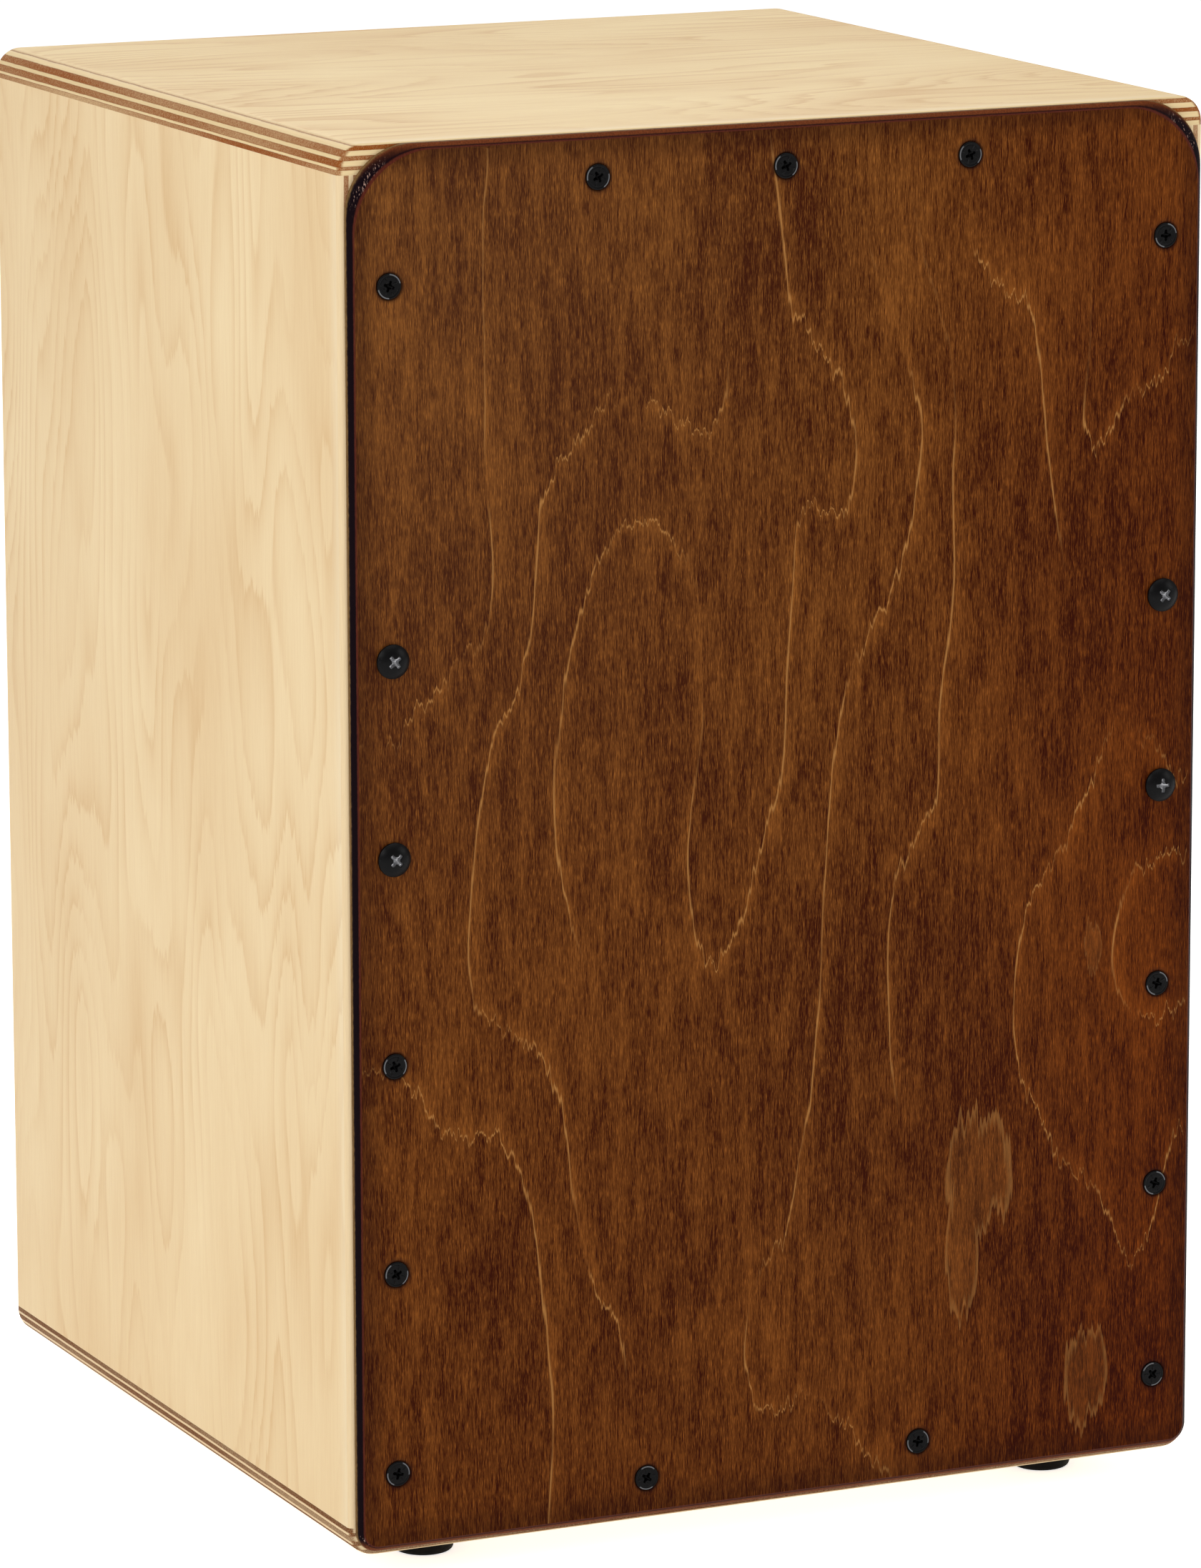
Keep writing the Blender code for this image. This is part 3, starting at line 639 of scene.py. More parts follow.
def toward_rectangle(angles, low, high, centre):
    """Where a ray from the centre at each angle meets the rectangle: the nearer of its two sides."""
    cosine, sine = np.cos(angles), np.sin(angles)
    wide = np.where(cosine > 0, high[0] - centre[0], centre[0] - low[0]) / np.maximum(abs(cosine), 1e-9)
    tall = np.where(sine > 0, high[1] - centre[1], centre[1] - low[1]) / np.maximum(abs(sine), 1e-9)
    reach = np.minimum(wide, tall)
    return np.stack([centre[0] + reach * cosine, centre[1] + reach * sine], axis=1)


def node_points(node):
    """The places of a frame node's own points, as an array."""
    return np.array([point.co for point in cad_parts[node].data.vertices], float)


def hole_in_node(node, low, high, margin=0.01):
    """The centre and the radius of the round hole in a board's node, from its points inside its edge."""
    flat = node_points(node)[:, [0, 2]]
    inner_low, inner_high = (low.x + margin, low.z + margin), (high.x - margin, high.z - margin)
    rim = flat[((flat > inner_low) & (flat < inner_high)).all(axis=1)]
    centre = (rim.min(0) + rim.max(0)) / 2
    return centre, float(np.linalg.norm(rim - centre, axis=1).max())


def holed_board(name, low, high, centre, radius, material):
    """A board with a round hole, as a profile carried round the hole and closed on itself."""
    corners = [math.atan2(z - centre[1], x - centre[0]) for x in (low.x, high.x) for z in (low.z, high.z)]
    angles = np.unique(np.concatenate([np.linspace(-math.pi, math.pi, HOLE_FACETS, endpoint=False), corners]))
    circle = np.stack([np.cos(angles), np.sin(angles)], axis=1)
    outer = toward_rectangle(angles, (low.x, low.z), (high.x, high.z), centre)
    rows = [np.insert(outer, 1, high.y, axis=1), np.insert(outer, 1, low.y, axis=1)]
    widen = HOLE_EASE * (1 - np.sin(quarter(END_STEPS)))
    step = HOLE_EASE * (1 - np.cos(quarter(END_STEPS)))
    for wider, y in zip([*widen, *widen[::-1]], [*(low.y + step), *(high.y - step[::-1])]):
        rows.append(np.insert(centre + (radius + wider) * circle, 1, y, axis=1))
    return skin(name, np.array(rows)[::-1], material, loop=True, sharp=30)


hole_centre, hole_radius = hole_in_node("back_panel", back_low, back_high)
back_board = holed_board("back_board", back_low, back_high, hole_centre, hole_radius, birch_back)
stands_for(back_board, "birch_ply", "back_panel")
print("sound hole", round(hole_radius * 2000, 1), "mm across")

# %% [markdown]
# ## The stained plate's finish
# The plate is birch veneer under a dark walnut stain. The stain soaks in unevenly: the short open
# fibres take less of it and shine through as thousands of upright flecks, and the growth lines stay
# pale because their wood is too dense to drink. The rim was cut after staining and painted almost
# black, and sanding left a thin red line along the crest. Painted light turns it brown where it
# faces up, and painted glints speckle it at the top corners.

# %% The stain
# Places and half sizes, in millimetres across and up, of the spots that took little stain.
PALE_PATCHES = ((70, 112, 12, 19), (64, 86, 6, 22), (110, 40, 8, 17), (111, 181, 3.5, 9))
LINE_MM, LIGHTER_BESIDE_MM = 0.27, 6.0
WAVER_RINGS = 0.5
SIDE_DARKER_MM, TOP_DARKER_MM = 10.0, 8.0


def stained_finish():
    made = new_finish("walnut_stain")
    tree = made.node_tree
    place, facing = read_place(tree)
    across, up = place[0], place[2]
    marks = {name: Value(tree, add_node(tree, "Attribute", {"attribute_name": name}).outputs["Fac"])
             for name in ("rim", "halo", "rings", "slope", "steep", "drawn")}
    rim = marks["rim"]
    figure = use_group(tree, PEELED_VENEER, Across=across, Along=up, Seed=8.0, Hill_Width=45.0,
                       Hill_Length=150.0, Rings=WAVER_RINGS, Teeth=15.0)
    rings, torn, streak, fleck, cloud = (Value(tree, figure.outputs[name]) for name in
                                         ("Rings", "Torn", "Streak", "Fleck", "Cloud"))
    waver = rings - WAVER_RINGS / 2

    # A growth line is where the ring map passes a whole number. Its height over its steepness is
    # the distance from the line. The fibres' teeth shift the map by their length times its slope.
    height = marks["rings"] + marks["slope"] * torn + waver
    offset = height - (height + 0.5).floor()
    drawn = marks["drawn"] * noise(tree, across / 22, up / 45, 31.0, 1.0).fade(0.30, 0.50)
    beside = offset / marks["steep"].most(0.006)
    line = (beside / LINE_MM).bell() * drawn
    after = beside.fade(LIGHTER_BESIDE_MM, 0.0) * beside.fade(-0.6, 0.0) * marks["drawn"]
    ragged_up = up + torn * 1.6
    reach = None
    for x, z, wide, tall in PALE_PATCHES:
        beside_it, above_it = (across - x) / wide, (ragged_up - z) / tall
        spot = beside_it * beside_it + above_it * above_it
        reach = spot if reach is None else reach.least(spot)
    patch = (reach + waver * 2.0).fade(1.08, 0.95)
    patch_rim = patch * reach.fade(0.55, 0.95)

    # Flecks and streaks: the open fibres take the stain unevenly, from nearly black to light walnut.
    mottle = noise(tree, across / 5.5, (up + torn) / 26, 12.0, 3.0, 0.6)
    bundle = noise(tree, across / 0.45, up / 6.5, 17.0, 3.0, 0.7)
    grain = fleck.fade(0.47, 0.74) * 0.46 + (bundle - 0.5) * 1.15 + (streak - 0.5) * 0.50
    grain = grain + (mottle - 0.5) * 0.66 + (cloud - 0.5) * 0.45 + 0.145
    grain = (grain + after * 0.16 + patch * 0.05).limited()
    colour = mix(tree, grain, paint(62, 19, 1), paint(180, 116, 50))
    # Painted shade: the plate turns darker and redder towards the right and the bottom, away from the lamp at
    # the upper left.
    shade = (across.fade(10.0, 150.0) * 0.50 + (240 - up) / 1300 + 0.36).limited()
    colour = mix(tree, shade, colour, mix(tree, 1.0, colour, paint(218, 168, 112), "MULTIPLY"))
    pale = (line * 0.80).most(patch * 0.05).most(patch_rim * 0.32)
    colour = mix(tree, pale, colour, paint(184, 128, 68))

    # Painted sheen: lighter and greyer towards the top left, where the broad left lamp is reflected.
    painted_sheen = (across - 60).fade(0.0, -190.0) * (up - 120).fade(0.0, 300.0)
    colour = mix(tree, painted_sheen * 0.08, colour, paint(140, 104, 70))
    # Darker beside every edge, within a few millimetres of it.
    from_side = plate_high.x * 1000 - 2.4 - abs(across)
    from_bottom, from_top = up - (plate_low.z * 1000 + 2.8), plate_high.z * 1000 - 2.6 - up
    edge = from_side.fade(SIDE_DARKER_MM, 0.0).most(from_bottom.fade(SIDE_DARKER_MM, 0.0))
    edge = edge.most(from_top.fade(TOP_DARKER_MM, 0.0))
    colour = mix(tree, edge * 0.42, colour, paint(44, 14, 4))
    # Darker round each screw, where the stain pooled.
    colour = mix(tree, marks["halo"] * 0.75, colour, paint(30, 9, 6))

    # The painted rim: black, with painted light that turns it brown where it faces up, painted glints at the
    # top corners, and a red crest.
    ragged = noise(tree, place[0] / 1.4, place[1] / 1.0, place[2] / 1.4, 3.0, 0.6)
    worn = noise(tree, place[0] / 0.5, place[1] / 0.5, place[2] / 2.2, 2.0, 0.6)
    crest = (rim + (ragged - 0.5) * 0.05).fade(0.02, 0.07)
    outer = (rim + (ragged - 0.5) * 0.12).fade(0.80, 0.93)
    above = facing[2].fade(0.25, 0.75)
    # Painted light: brown where the rim faces up, as if lit from above.
    lit_from_above = above * rim.fade(0.24, 0.46) * 0.9
    black = mix(tree, lit_from_above, paint(18, 6, 12), mix(tree, worn, paint(60, 22, 12), paint(150, 78, 36)))
    # Painted glints: pale pink speckles where the rim at the top corners tilts up towards the lamp.
    corner = facing[2].fade(0.08, 0.22) * facing[2].fade(0.58, 0.40) * abs(across).fade(134.0, 141.0)
    corner_glints = corner * worn.fade(0.58, 0.66) * rim.fade(0.10, 0.30) * rim.fade(0.80, 0.55)
    black = mix(tree, corner_glints * 0.7, black, paint(200, 160, 144))
    colour = mix(tree, crest, colour, mix(tree, worn, paint(60, 20, 16), paint(104, 48, 32)))
    colour = mix(tree, (rim + (ragged - 0.5) * 0.10).fade(0.16, 0.30), colour, black)
    colour = mix(tree, outer, colour, mix(tree, worn, paint(88, 56, 26), paint(150, 118, 74)))

    rough = 0.45 + (fleck - 0.5) * 0.25
    bump = (fleck - 0.5) * 0.9 + (streak - 0.5) * 0.7 - line * 0.4 + (worn - 0.5) * rim * 1.2
    finish_with(tree, colour, rough, bump, 0.00006, Specular_IOR_Level=0.04)
    return made


walnut_stain = stained_finish()
print("the stain is made of", len(walnut_stain.node_tree.nodes), "nodes")

# %% [markdown]
# The few long growth lines of this sheet of veneer are surveyed like contour lines: each is given as
# a ring number and some places, in millimetres across and up, that it passes through. A thin plate
# spline, the shape that a springy sheet takes when it is pinned at those places, makes the smooth
# ring map of them. The sheet is shrunk along the grain first, because rings run long that way.

# %% The ring map
GROWTH_LINES = (
    (0, ((-110, 449), (-115, 408), (-115, 383), (-105, 371), (-103, 308), (-120, 288), (-148, 280))),
    (0, ((-145, 155), (-128, 161), (-120, 151), (-100, 145), (-90, 120), (-87, 103), (-82, 50), (-83, 18))),
    (1, ((-25, 363), (-40, 368), (-60, 373), (-73, 357), (-85, 343), (-88, 298), (-100, 273), (-108, 218),
         (-105, 183), (-85, 165), (-80, 153), (-75, 118), (-68, 87), (-60, 76))),
    (2, ((-3, 437), (0, 398), (15, 380), (23, 358), (20, 331), (8, 335), (3, 328), (0, 268), (-10, 218),
         (-24, 191), (-35, 233), (-28, 263), (-28, 303), (-47, 335), (-65, 318), (-75, 288), (-80, 248),
         (-77, 218))),
    (3, ((35, 398), (48, 353), (43, 323), (26, 285), (18, 248), (13, 188), (9, 143), (5, 83), (-12, 56),
         (5, 39), (22, 31), (37, 23))),
    (4, ((57, 343), (55, 268), (57, 233), (40, 198), (37, 158))),
    (5, ((65, 418), (70, 408), (87, 393), (92, 358), (95, 333))),
    (5, ((143, 231), (112, 236), (100, 213), (85, 193), (83, 138), (95, 130), (102, 116), (115, 108),
         (125, 88), (132, 85), (143, 118))),
    (6, ((105, 351), (120, 353), (140, 368))),
    (6, ((142, 213), (125, 203), (120, 183), (125, 163), (142, 158))),
)
# Ring heights between the lines, where the map would bulge without them.
PINS_BETWEEN = ((2.4, ((-26, 160), (-56, 215), (-54, 270))), (1.6, ((-14, 262), (-8, 330), (-24, 345))))
GRAIN_STRETCH = 2.4
PIN_GIVE = 20.0
LINE_FADE_MM = 13.0
print(sum(len(spots) for _, spots in GROWTH_LINES), "surveyed places on", len(GROWTH_LINES), "growth lines")


def bend(gap):
    """The shape of a springy sheet round one pin, from the distance squared: r * r * log r."""
    return 0.5 * gap * np.log(gap + 1e-9)


def ring_map():
    """The ring map, as a function of places in millimetres. The pins' pulls are found so that it
    passes within a hair of every pin, and a flat slope is added for what the pulls leave over."""
    squeeze = np.array((1.0, 1.0 / GRAIN_STRETCH))
    pins = np.array([spot for _, spots in GROWTH_LINES + PINS_BETWEEN for spot in spots]) * squeeze
    rings = np.array([ring for ring, spots in GROWTH_LINES + PINS_BETWEEN for _ in spots], float)
    count = len(pins)
    flat = np.concatenate([np.ones((count, 1)), pins], axis=1)
    system = np.zeros((count + 3, count + 3))
    system[:count, :count] = bend(((pins[:, None] - pins[None]) ** 2).sum(-1)) + PIN_GIVE * np.eye(count)
    system[:count, count:] = flat
    system[count:, :count] = flat.T
    pulls = np.linalg.solve(system, np.concatenate([rings, np.zeros(3)]))

    def height(places):
        spots = places * squeeze
        gaps = ((spots[:, None] - pins[None]) ** 2).sum(-1)
        return bend(gaps) @ pulls[:count] + pulls[count] + spots @ pulls[count + 1:]
    return height


def near_growth_line(places):
    """1 on a surveyed line and falling off as a bell with the distance from its straight pieces."""
    nearest = np.full(len(places), 1e9)
    for _, spots in GROWTH_LINES:
        for start, end in zip(spots, spots[1:]):
            start, run = np.array(start, float), np.array(end, float) - start
            share = np.clip((places - start) @ run / (run @ run), 0, 1)
            nearest = np.minimum(nearest, np.linalg.norm(places - start - share[:, None] * run, axis=1))
    return np.exp(-(nearest / LINE_FADE_MM) ** 2)


def growth_marks(places):
    """The marks of the plate's points: its rings, how they change upward, and where they show."""
    flat = places[:, [0, 2]] * 1000
    height = ring_map()
    across, up = np.array((0.5, 0.0)), np.array((0.0, 0.5))
    slope, tilt = (height(flat + step) - height(flat - step) for step in (up, across))
    return {"rings": height(flat), "slope": slope, "steep": np.hypot(slope, tilt),
            "drawn": near_growth_line(flat)}


# %% [markdown]
# ## The front plate
# The plate's outline is a rectangle with large arcs at the top corners and small ones at the bottom.
# The router's bevel widens towards the top corners, so the face's own outline has rounder corners
# than the edge. The rim is the band between those two outlines, carried over a soft profile.
# The face needs thirteen countersunk holes and four plain ones. A flat face with holes has no grid,
# so its outlines are filled by a Delaunay triangulation, and rings of points round every hole carry
# a mark that is 1 at the hole and fades to 0, for the stain that pooled there.

# %% Plate outlines
TOP_CORNER, BOTTOM_CORNER = 0.022, 0.007
BEVEL_WIDE, BEVEL_DEEP, CORNER_WIDENING = 0.0021, 0.0024, 0.0065
PLATE_CORNER_STEPS = 28
face_y = plate_low.y
plate_thick = plate_high.y - plate_low.y


def plate_outline(share):
    """The outline at a share of the way over the bevel, from 0 at the edge to 1 at the face. The
    inset grows to the bevel's width, and the top corners' radius to its own widening."""
    inset = BEVEL_WIDE * share
    top_radius = TOP_CORNER - inset + CORNER_WIDENING * share
    radii = (BOTTOM_CORNER - inset, top_radius, top_radius, BOTTOM_CORNER - inset)
    return rounded_section((plate_low.x + inset, plate_low.z + inset),
                           (plate_high.x - inset, plate_high.z - inset), radii, PLATE_CORNER_STEPS)


def rim_profile():
    """Rows of (share over the bevel, depth behind the face, mark) from the crest to the back.
    The bevel's depth is part straight and part a quarter of an ellipse: 1 - sqrt(1 - s * s)."""
    over = np.linspace(0, 1, 10)
    depth = BEVEL_DEEP * (0.62 * over + 0.38 * (1 - np.sqrt(1 - over ** 2)))
    rows = [(1 - s, d, 0.92 * s) for s, d in zip(over, depth)]
    wall = [(0.0, BEVEL_DEEP + 0.0003, 0.95), (0.0, plate_thick - 0.0002, 1.0), (0.05, plate_thick, 1.0)]
    return rows + wall


def ring_at(spot, radius, count=48):
    """Points round a spot, anticlockwise."""
    angles = np.linspace(0, 2 * math.pi, count, endpoint=False)
    return np.array(spot) + radius * np.stack([np.cos(angles), np.sin(angles)], axis=1)


def inside_loop(points, loop):
    """True where a ray to the right of a point crosses the loop an odd number of times."""
    after = np.roll(loop, -1, axis=0)
    px, py = points[:, 0, None], points[:, 1, None]
    spans = (loop[:, 1] > py) != (after[:, 1] > py)
    rise = after[:, 1] - loop[:, 1]
    crossing = loop[:, 0] + (py - loop[:, 1]) * (after[:, 0] - loop[:, 0]) / np.where(rise == 0, 1, rise)
    return (spans & (px < crossing)).sum(axis=1) % 2 == 1


def fill(loops, inner):
    """Triangles inside the first loop and outside the others, by the numbers of their points, that
    pass through the loose inner points."""
    points = np.concatenate([*loops, inner])
    starts = np.cumsum([0] + [len(loop) for loop in loops])
    edges = [(int(start + i), int(start + (i + 1) % len(loop)))
             for start, loop in zip(starts, loops) for i in range(len(loop))]
    made, _, faces, source, _, _ = delaunay_2d_cdt([tuple(p) for p in points], edges, [], 0, 1e-9)
    corners = np.array(faces)
    centres = np.array(made, float)[corners].mean(axis=1)
    keep = inside_loop(centres, loops[0])
    for loop in loops[1:]:
        keep &= ~inside_loop(centres, loop)
    return np.array([original[0] for original in source])[corners[keep]]


def survey_grid(outlines, wide=0.0025, tall=0.004, clear=0.0015):
    """Loose points over the plate's face, in rows that step by half, clear of every outline. They
    carry the ring map between the outlines."""
    low, high = outlines[0].min(axis=0), outlines[0].max(axis=0)
    grid_x, grid_z = np.meshgrid(np.arange(low[0], high[0], wide), np.arange(low[1], high[1], tall))
    grid_x = grid_x + wide / 2 * (np.arange(len(grid_x)) % 2)[:, None]
    grid = np.stack([grid_x.ravel(), grid_z.ravel()], axis=1)
    keep = inside_loop(grid, outlines[0])
    for outline in outlines[1:]:
        centre = outline.mean(axis=0)
        keep &= np.linalg.norm(grid - centre, axis=1) > np.linalg.norm(outline[0] - centre) + clear
    keep &= np.linalg.norm(grid[:, None] - outlines[0], axis=2).min(axis=1) > clear
    return grid[keep]


# %% The plate with its holes
SEAT_RADIUS, BORE_RADIUS = 0.0043, 0.0021
SEAT_DEEP, EASED_DEEP = 0.0026, 0.0004
# Rings round a hole: how much wider than it, how far below the face, and the mark of the dark halo.
HALO_RINGS = ((0.0014, 0.0, 0.0), (0.0006, 0.0, 0.35), (0.0002, 0.00006, 0.9), (0.0, 0.00022, 1.0))


def screw_centre(node):
    low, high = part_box(node)
    return ((low.x + high.x) / 2, (low.z + high.z) / 2)


flat_screws = sorted(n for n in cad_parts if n.startswith("plate_screw"))
pan_screws = sorted(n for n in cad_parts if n.startswith("pan_screw"))


def front_plate_piece():
    """Rim, face, back and holes share their points: every loop is stored once and joined by rows."""
    places, faces, rims, halos = [], [], [], []

    def store(outline, depth, rim, halo):
        """Keeps a loop of (x, z) points at a depth and returns the numbers of its points."""
        first = sum(len(p) for p in places)
        places.append(np.insert(outline, 1, face_y + depth, axis=1))
        rims.append(np.full(len(outline), rim))
        halos.append(np.full(len(outline), halo))
        return np.arange(first, first + len(outline))

    def band(loops):
        """Faces between loops of as many points, each further round the edge or down a hole."""
        for upper, lower in zip(loops, loops[1:]):
            quads = np.stack([upper, lower, np.roll(lower, -1), np.roll(upper, -1)], axis=1)
            faces.extend(quads.tolist())

    rows = rim_profile()
    edge = [store(plate_outline(share), depth, mark, 0.0) for share, depth, mark in rows]
    band(edge)
    face, back = [(plate_outline(1.0), edge[0])], [(plate_outline(rows[-1][0]), edge[-1])]
    for node in flat_screws + pan_screws:
        flush = node in flat_screws
        top = SEAT_RADIUS if flush else BORE_RADIUS
        rings = [(top + wider, sunk if flush else 0.0, halo) for wider, sunk, halo in HALO_RINGS]
        rings += [(BORE_RADIUS, SEAT_DEEP if flush else EASED_DEEP, 1.0), (BORE_RADIUS, plate_thick, 1.0)]
        outlines = [ring_at(screw_centre(node), radius) for radius, _, _ in rings]
        loops = [store(outline, depth, 0.0, halo) for outline, (_, depth, halo) in zip(outlines, rings)]
        band(loops)
        face.append((outlines[0], loops[0]))
        back.append((outlines[-1], loops[-1]))

    for sheet, turned_over in ((face, False), (back, True)):
        outlines, numbers = [outline for outline, _ in sheet], [loop for _, loop in sheet]
        inner = np.empty((0, 2)) if turned_over else survey_grid(outlines)
        numbers.append(store(inner, 0.0, 0.0, 0.0))
        corners = np.concatenate(numbers)[fill(outlines, inner)]
        faces.extend((corners[:, ::-1] if turned_over else corners).tolist())
    points = np.concatenate(places)
    marks = {"rim": np.concatenate(rims), "halo": np.concatenate(halos), **growth_marks(points)}
    return put_mesh("struck_plate", points, faces, walnut_stain, 30, marks)


plate = front_plate_piece()
stands_for(plate, "stained_ply", "front_plate")
print("the plate has", len(plate.data.polygons), "faces")

# %% [markdown]
# ## Metal, paint and rubber
# Three more finishes are needed. The plate's screws are blackened steel whose black rubs off in the
# cross where the driver turns. The inner hardware is bright zinc. The feet are moulded rubber, with
# the fine dull grain of the mould.

# %% Hardware materials
def steel_finish(name, coat, bare_and_glint, coat_rough, bare_rough, metal_coat, bare_share, shine=0.5):
    """Coated steel: a mark on the points and fine scratches say where the metal shows through. On a flat head
    the same mark lays painted highlights: arcs of uncoated metal near the rim.
    """
    made = new_finish(name)
    tree = made.node_tree
    place, _ = read_place(tree)
    bare_mark = Value(tree, add_node(tree, "Attribute", {"attribute_name": "bare_and_glint"}).outputs["Fac"])
    scratch = noise(tree, place[0] / 0.12, place[1] / 0.12, place[2] / 0.9, 2.0, 0.7)
    pits = noise(tree, place[0] / 0.25, place[1] / 0.25, place[2] / 0.25, 3.0, 0.6)
    shows = (bare_mark * bare_share + scratch.fade(0.70, 0.78) * 0.25).least(1.0)
    pitted = mix(tree, pits, paint(*coat), tuple(0.6 * part for part in paint(*coat)))
    colour = mix(tree, shows, pitted, paint(*bare_and_glint))
    rough = (pits - 0.5) * 0.25 + shows * (bare_rough - coat_rough) + coat_rough
    shader = finish_with(tree, colour, rough, pits, 0.00001, Specular_IOR_Level=shine)
    feed(tree, shader.inputs["Metallic"], (shows * (1.0 - metal_coat) + metal_coat).least(1.0))
    return made


def rubber_finish():
    made = new_finish("moulded_rubber")
    tree = made.node_tree
    place, _ = read_place(tree)
    mould = noise(tree, place[0] / 0.35, place[1] / 0.35, place[2] / 0.35, 3.0, 0.6)
    scuff = noise(tree, place[0] / 3.0, place[1] / 3.0, place[2] / 0.6, 3.0, 0.6)
    colour = mix(tree, scuff.fade(0.5, 0.75) * 0.5, paint(9, 8, 8), paint(34, 32, 31))
    finish_with(tree, colour, 0.60 + (mould - 0.5) * 0.3, mould, 0.00004, Specular_IOR_Level=0.12)
    return made


black_steel = steel_finish("blackened_steel", (8, 7, 8), (196, 196, 199), 0.34, 0.26, 0.0, 0.85, 0.13)
zinc_steel = steel_finish("bright_zinc", (176, 178, 182), (214, 214, 216), 0.32, 0.20, 1.0, 0.6)
moulded_rubber = rubber_finish()
print("finishes so far:", ", ".join(made.name for made in bpy.data.materials if made.use_nodes))

# %% [markdown]
# ## Screws
# A screw is one grid: its columns go round it, and its rows run from the middle of the head, over the
# rim, down the thread and to the point. The cross is pressed into the head by lowering the points
# that lie in one of its four arms. The thread is a ridge that climbs by its pitch in each turn, which
# is a sawtooth of height over pitch minus angle over a full turn.

# %% The screw surface
SCREW_COLUMNS = 96
THREAD_PITCH, THREAD_SHARE = 0.0014, 0.24
POINT_LENGTH = 0.003


def ease(value, start, end):
    """0 at start and 1 at end with a smooth step, t * t * (3 - 2 t), between them."""
    share = np.clip((value - start) / (end - start), 0, 1)
    return share * share * (3 - 2 * share)


def cross_recess(radius, angle, head, spin, ticks, reach=0.42, half=0.09):
    """How deep the driver's cross goes, from 0 to 1: in an arm the distance from its axis is under
    its half width, and the distance along it is under its reach. It is deepest in the middle. All
    the sizes are shares of the head. Ticks are four small ribs between the arms."""
    along, beside = radius * np.cos(angle - spin), radius * np.sin(angle - spin)
    soft = 0.035 * head
    arms = np.zeros_like(radius)
    for first, second in ((along, beside), (beside, along)):
        inside = ease(half * head - abs(second), -soft, soft) * ease(reach * head - abs(first), -soft, soft)
        arms = np.maximum(arms, inside)
    bowl = ease(0.20 * head - radius, -soft, soft)
    depth = np.maximum(arms, bowl) * (1.0 - 0.55 * np.clip(radius / (reach * head), 0, 1))
    if ticks:
        diagonal = np.minimum(abs(along - beside), abs(along + beside)) / math.sqrt(2)
        rib = ease(0.035 * head - diagonal, -0.02 * head, 0.02 * head)
        rib *= ease(radius, 0.34 * head, 0.42 * head) * ease(0.80 * head - radius, 0, 0.08 * head)
        depth = depth - 0.16 * rib
    return depth


def screw_points(head, head_height, shank, length, spin, flat):
    """Points of a screw that stands on Z, with its face's edge at height 0, and a mark for each point of
    where metal shows: worn in a pan head's cross, painted glints near a flat head's rim. A flat head is a
    shallow disc over a cone. A pan head is a dome: height * (1 - (r / head) ** 2.6)."""
    angle = np.linspace(0, 2 * math.pi, SCREW_COLUMNS, endpoint=False)
    radius = head * np.concatenate([np.linspace(0, 0.90, 30), np.array((0.94, 0.97, 0.99, 1.0))])
    grid_r, grid_a = np.meshgrid(radius, angle, indexing="ij")
    dent = cross_recess(grid_r, grid_a, head, spin, flat)
    # A flat head is a little dished, with a fine groove round it and a rounded edge.
    if flat:
        dish = 0.00012 * (grid_r / head) ** 2 * ease(head - grid_r, 0, 0.06 * head)
        groove = 0.00007 * np.exp(-((grid_r / head - 0.80) / 0.05) ** 2)
        top = head_height - 0.00012 + dish - groove - 0.00010 * ease(grid_r, 0.94 * head, head)
        depth = 0.46 * head
    else:
        top = head_height * (0.24 + 0.76 * (1 - (grid_r / head) ** 2.6))
        depth = 0.42 * head
    rows = [np.stack([grid_r * np.cos(grid_a), grid_r * np.sin(grid_a), top - depth * dent], axis=-1)]
    # Painted highlight: on a flat head, broken arcs near the rim take the colour of uncoated metal, as glints
    # of the lamps.
    glint_arcs = 0.5 * np.exp(-((grid_r / head - 0.92) / 0.035) ** 2) * (np.sin(2 * grid_a + 5 * spin) > 0.3)
    bare_and_glint = [glint_arcs if flat else ease(dent, 0.10, 0.4)]
    # Below the head, the rim and the neck are followed by the thread and by the point that it fades on.
    rim_low = -0.0003 if flat else 0.0
    neck = rim_low - (head - shank) if flat else -0.0001
    levels = np.concatenate([[rim_low, neck], np.linspace(neck - 0.0004, POINT_LENGTH - length, 44),
                             np.linspace(POINT_LENGTH - 0.0002 - length, -length, 6)])
    taper = np.clip((levels + length) / POINT_LENGTH, 0, 1)
    grid_h, grid_a = np.meshgrid(levels, angle, indexing="ij")
    turn = (grid_h / THREAD_PITCH - grid_a / (2 * math.pi)) % 1.0
    ridge = THREAD_SHARE * shank * (np.abs(turn - 0.5) * 2 - 1)
    width = (shank + np.where(grid_h < neck - 0.0002, ridge, 0.0)) * taper[:, None]
    width[0] = head
    width[1] = shank
    rows.append(np.stack([width * np.cos(grid_a), width * np.sin(grid_a), grid_h], axis=-1))
    bare_and_glint.append(np.zeros_like(grid_h))
    return np.concatenate(rows), np.concatenate(bare_and_glint)


def turn_about_x(points, angle, place):
    """Turns points about X, +Z towards -Y for a positive angle, and moves them to a place."""
    cosine, sine = math.cos(angle), math.sin(angle)
    x, y, z = points[..., 0], points[..., 1], points[..., 2]
    turned_y, turned_z = y * cosine - z * sine, y * sine + z * cosine
    return np.stack([x + place[0], turned_y + place[1], turned_z + place[2]], axis=-1)


# %% Screws in their places
FACING_FRONT = math.pi / 2
spins = np.random.default_rng(7)


def drive_screw(node, head, head_height, shank, length, flat, tilt, finish, slot, seat, turn=math.pi / 2):
    """A screw that stands for its node, with its head's edge at a seat and a chance part of a turn."""
    points, bare_and_glint = screw_points(head, head_height, shank, length, spins.uniform(0, turn), flat)
    piece = skin(node + "_turned", turn_about_x(points, tilt, seat), finish, ends="pole", sharp=50,
                 marks={"bare_and_glint": bare_and_glint})
    piece.data.flip_normals()
    return stands_for(piece, slot, node)


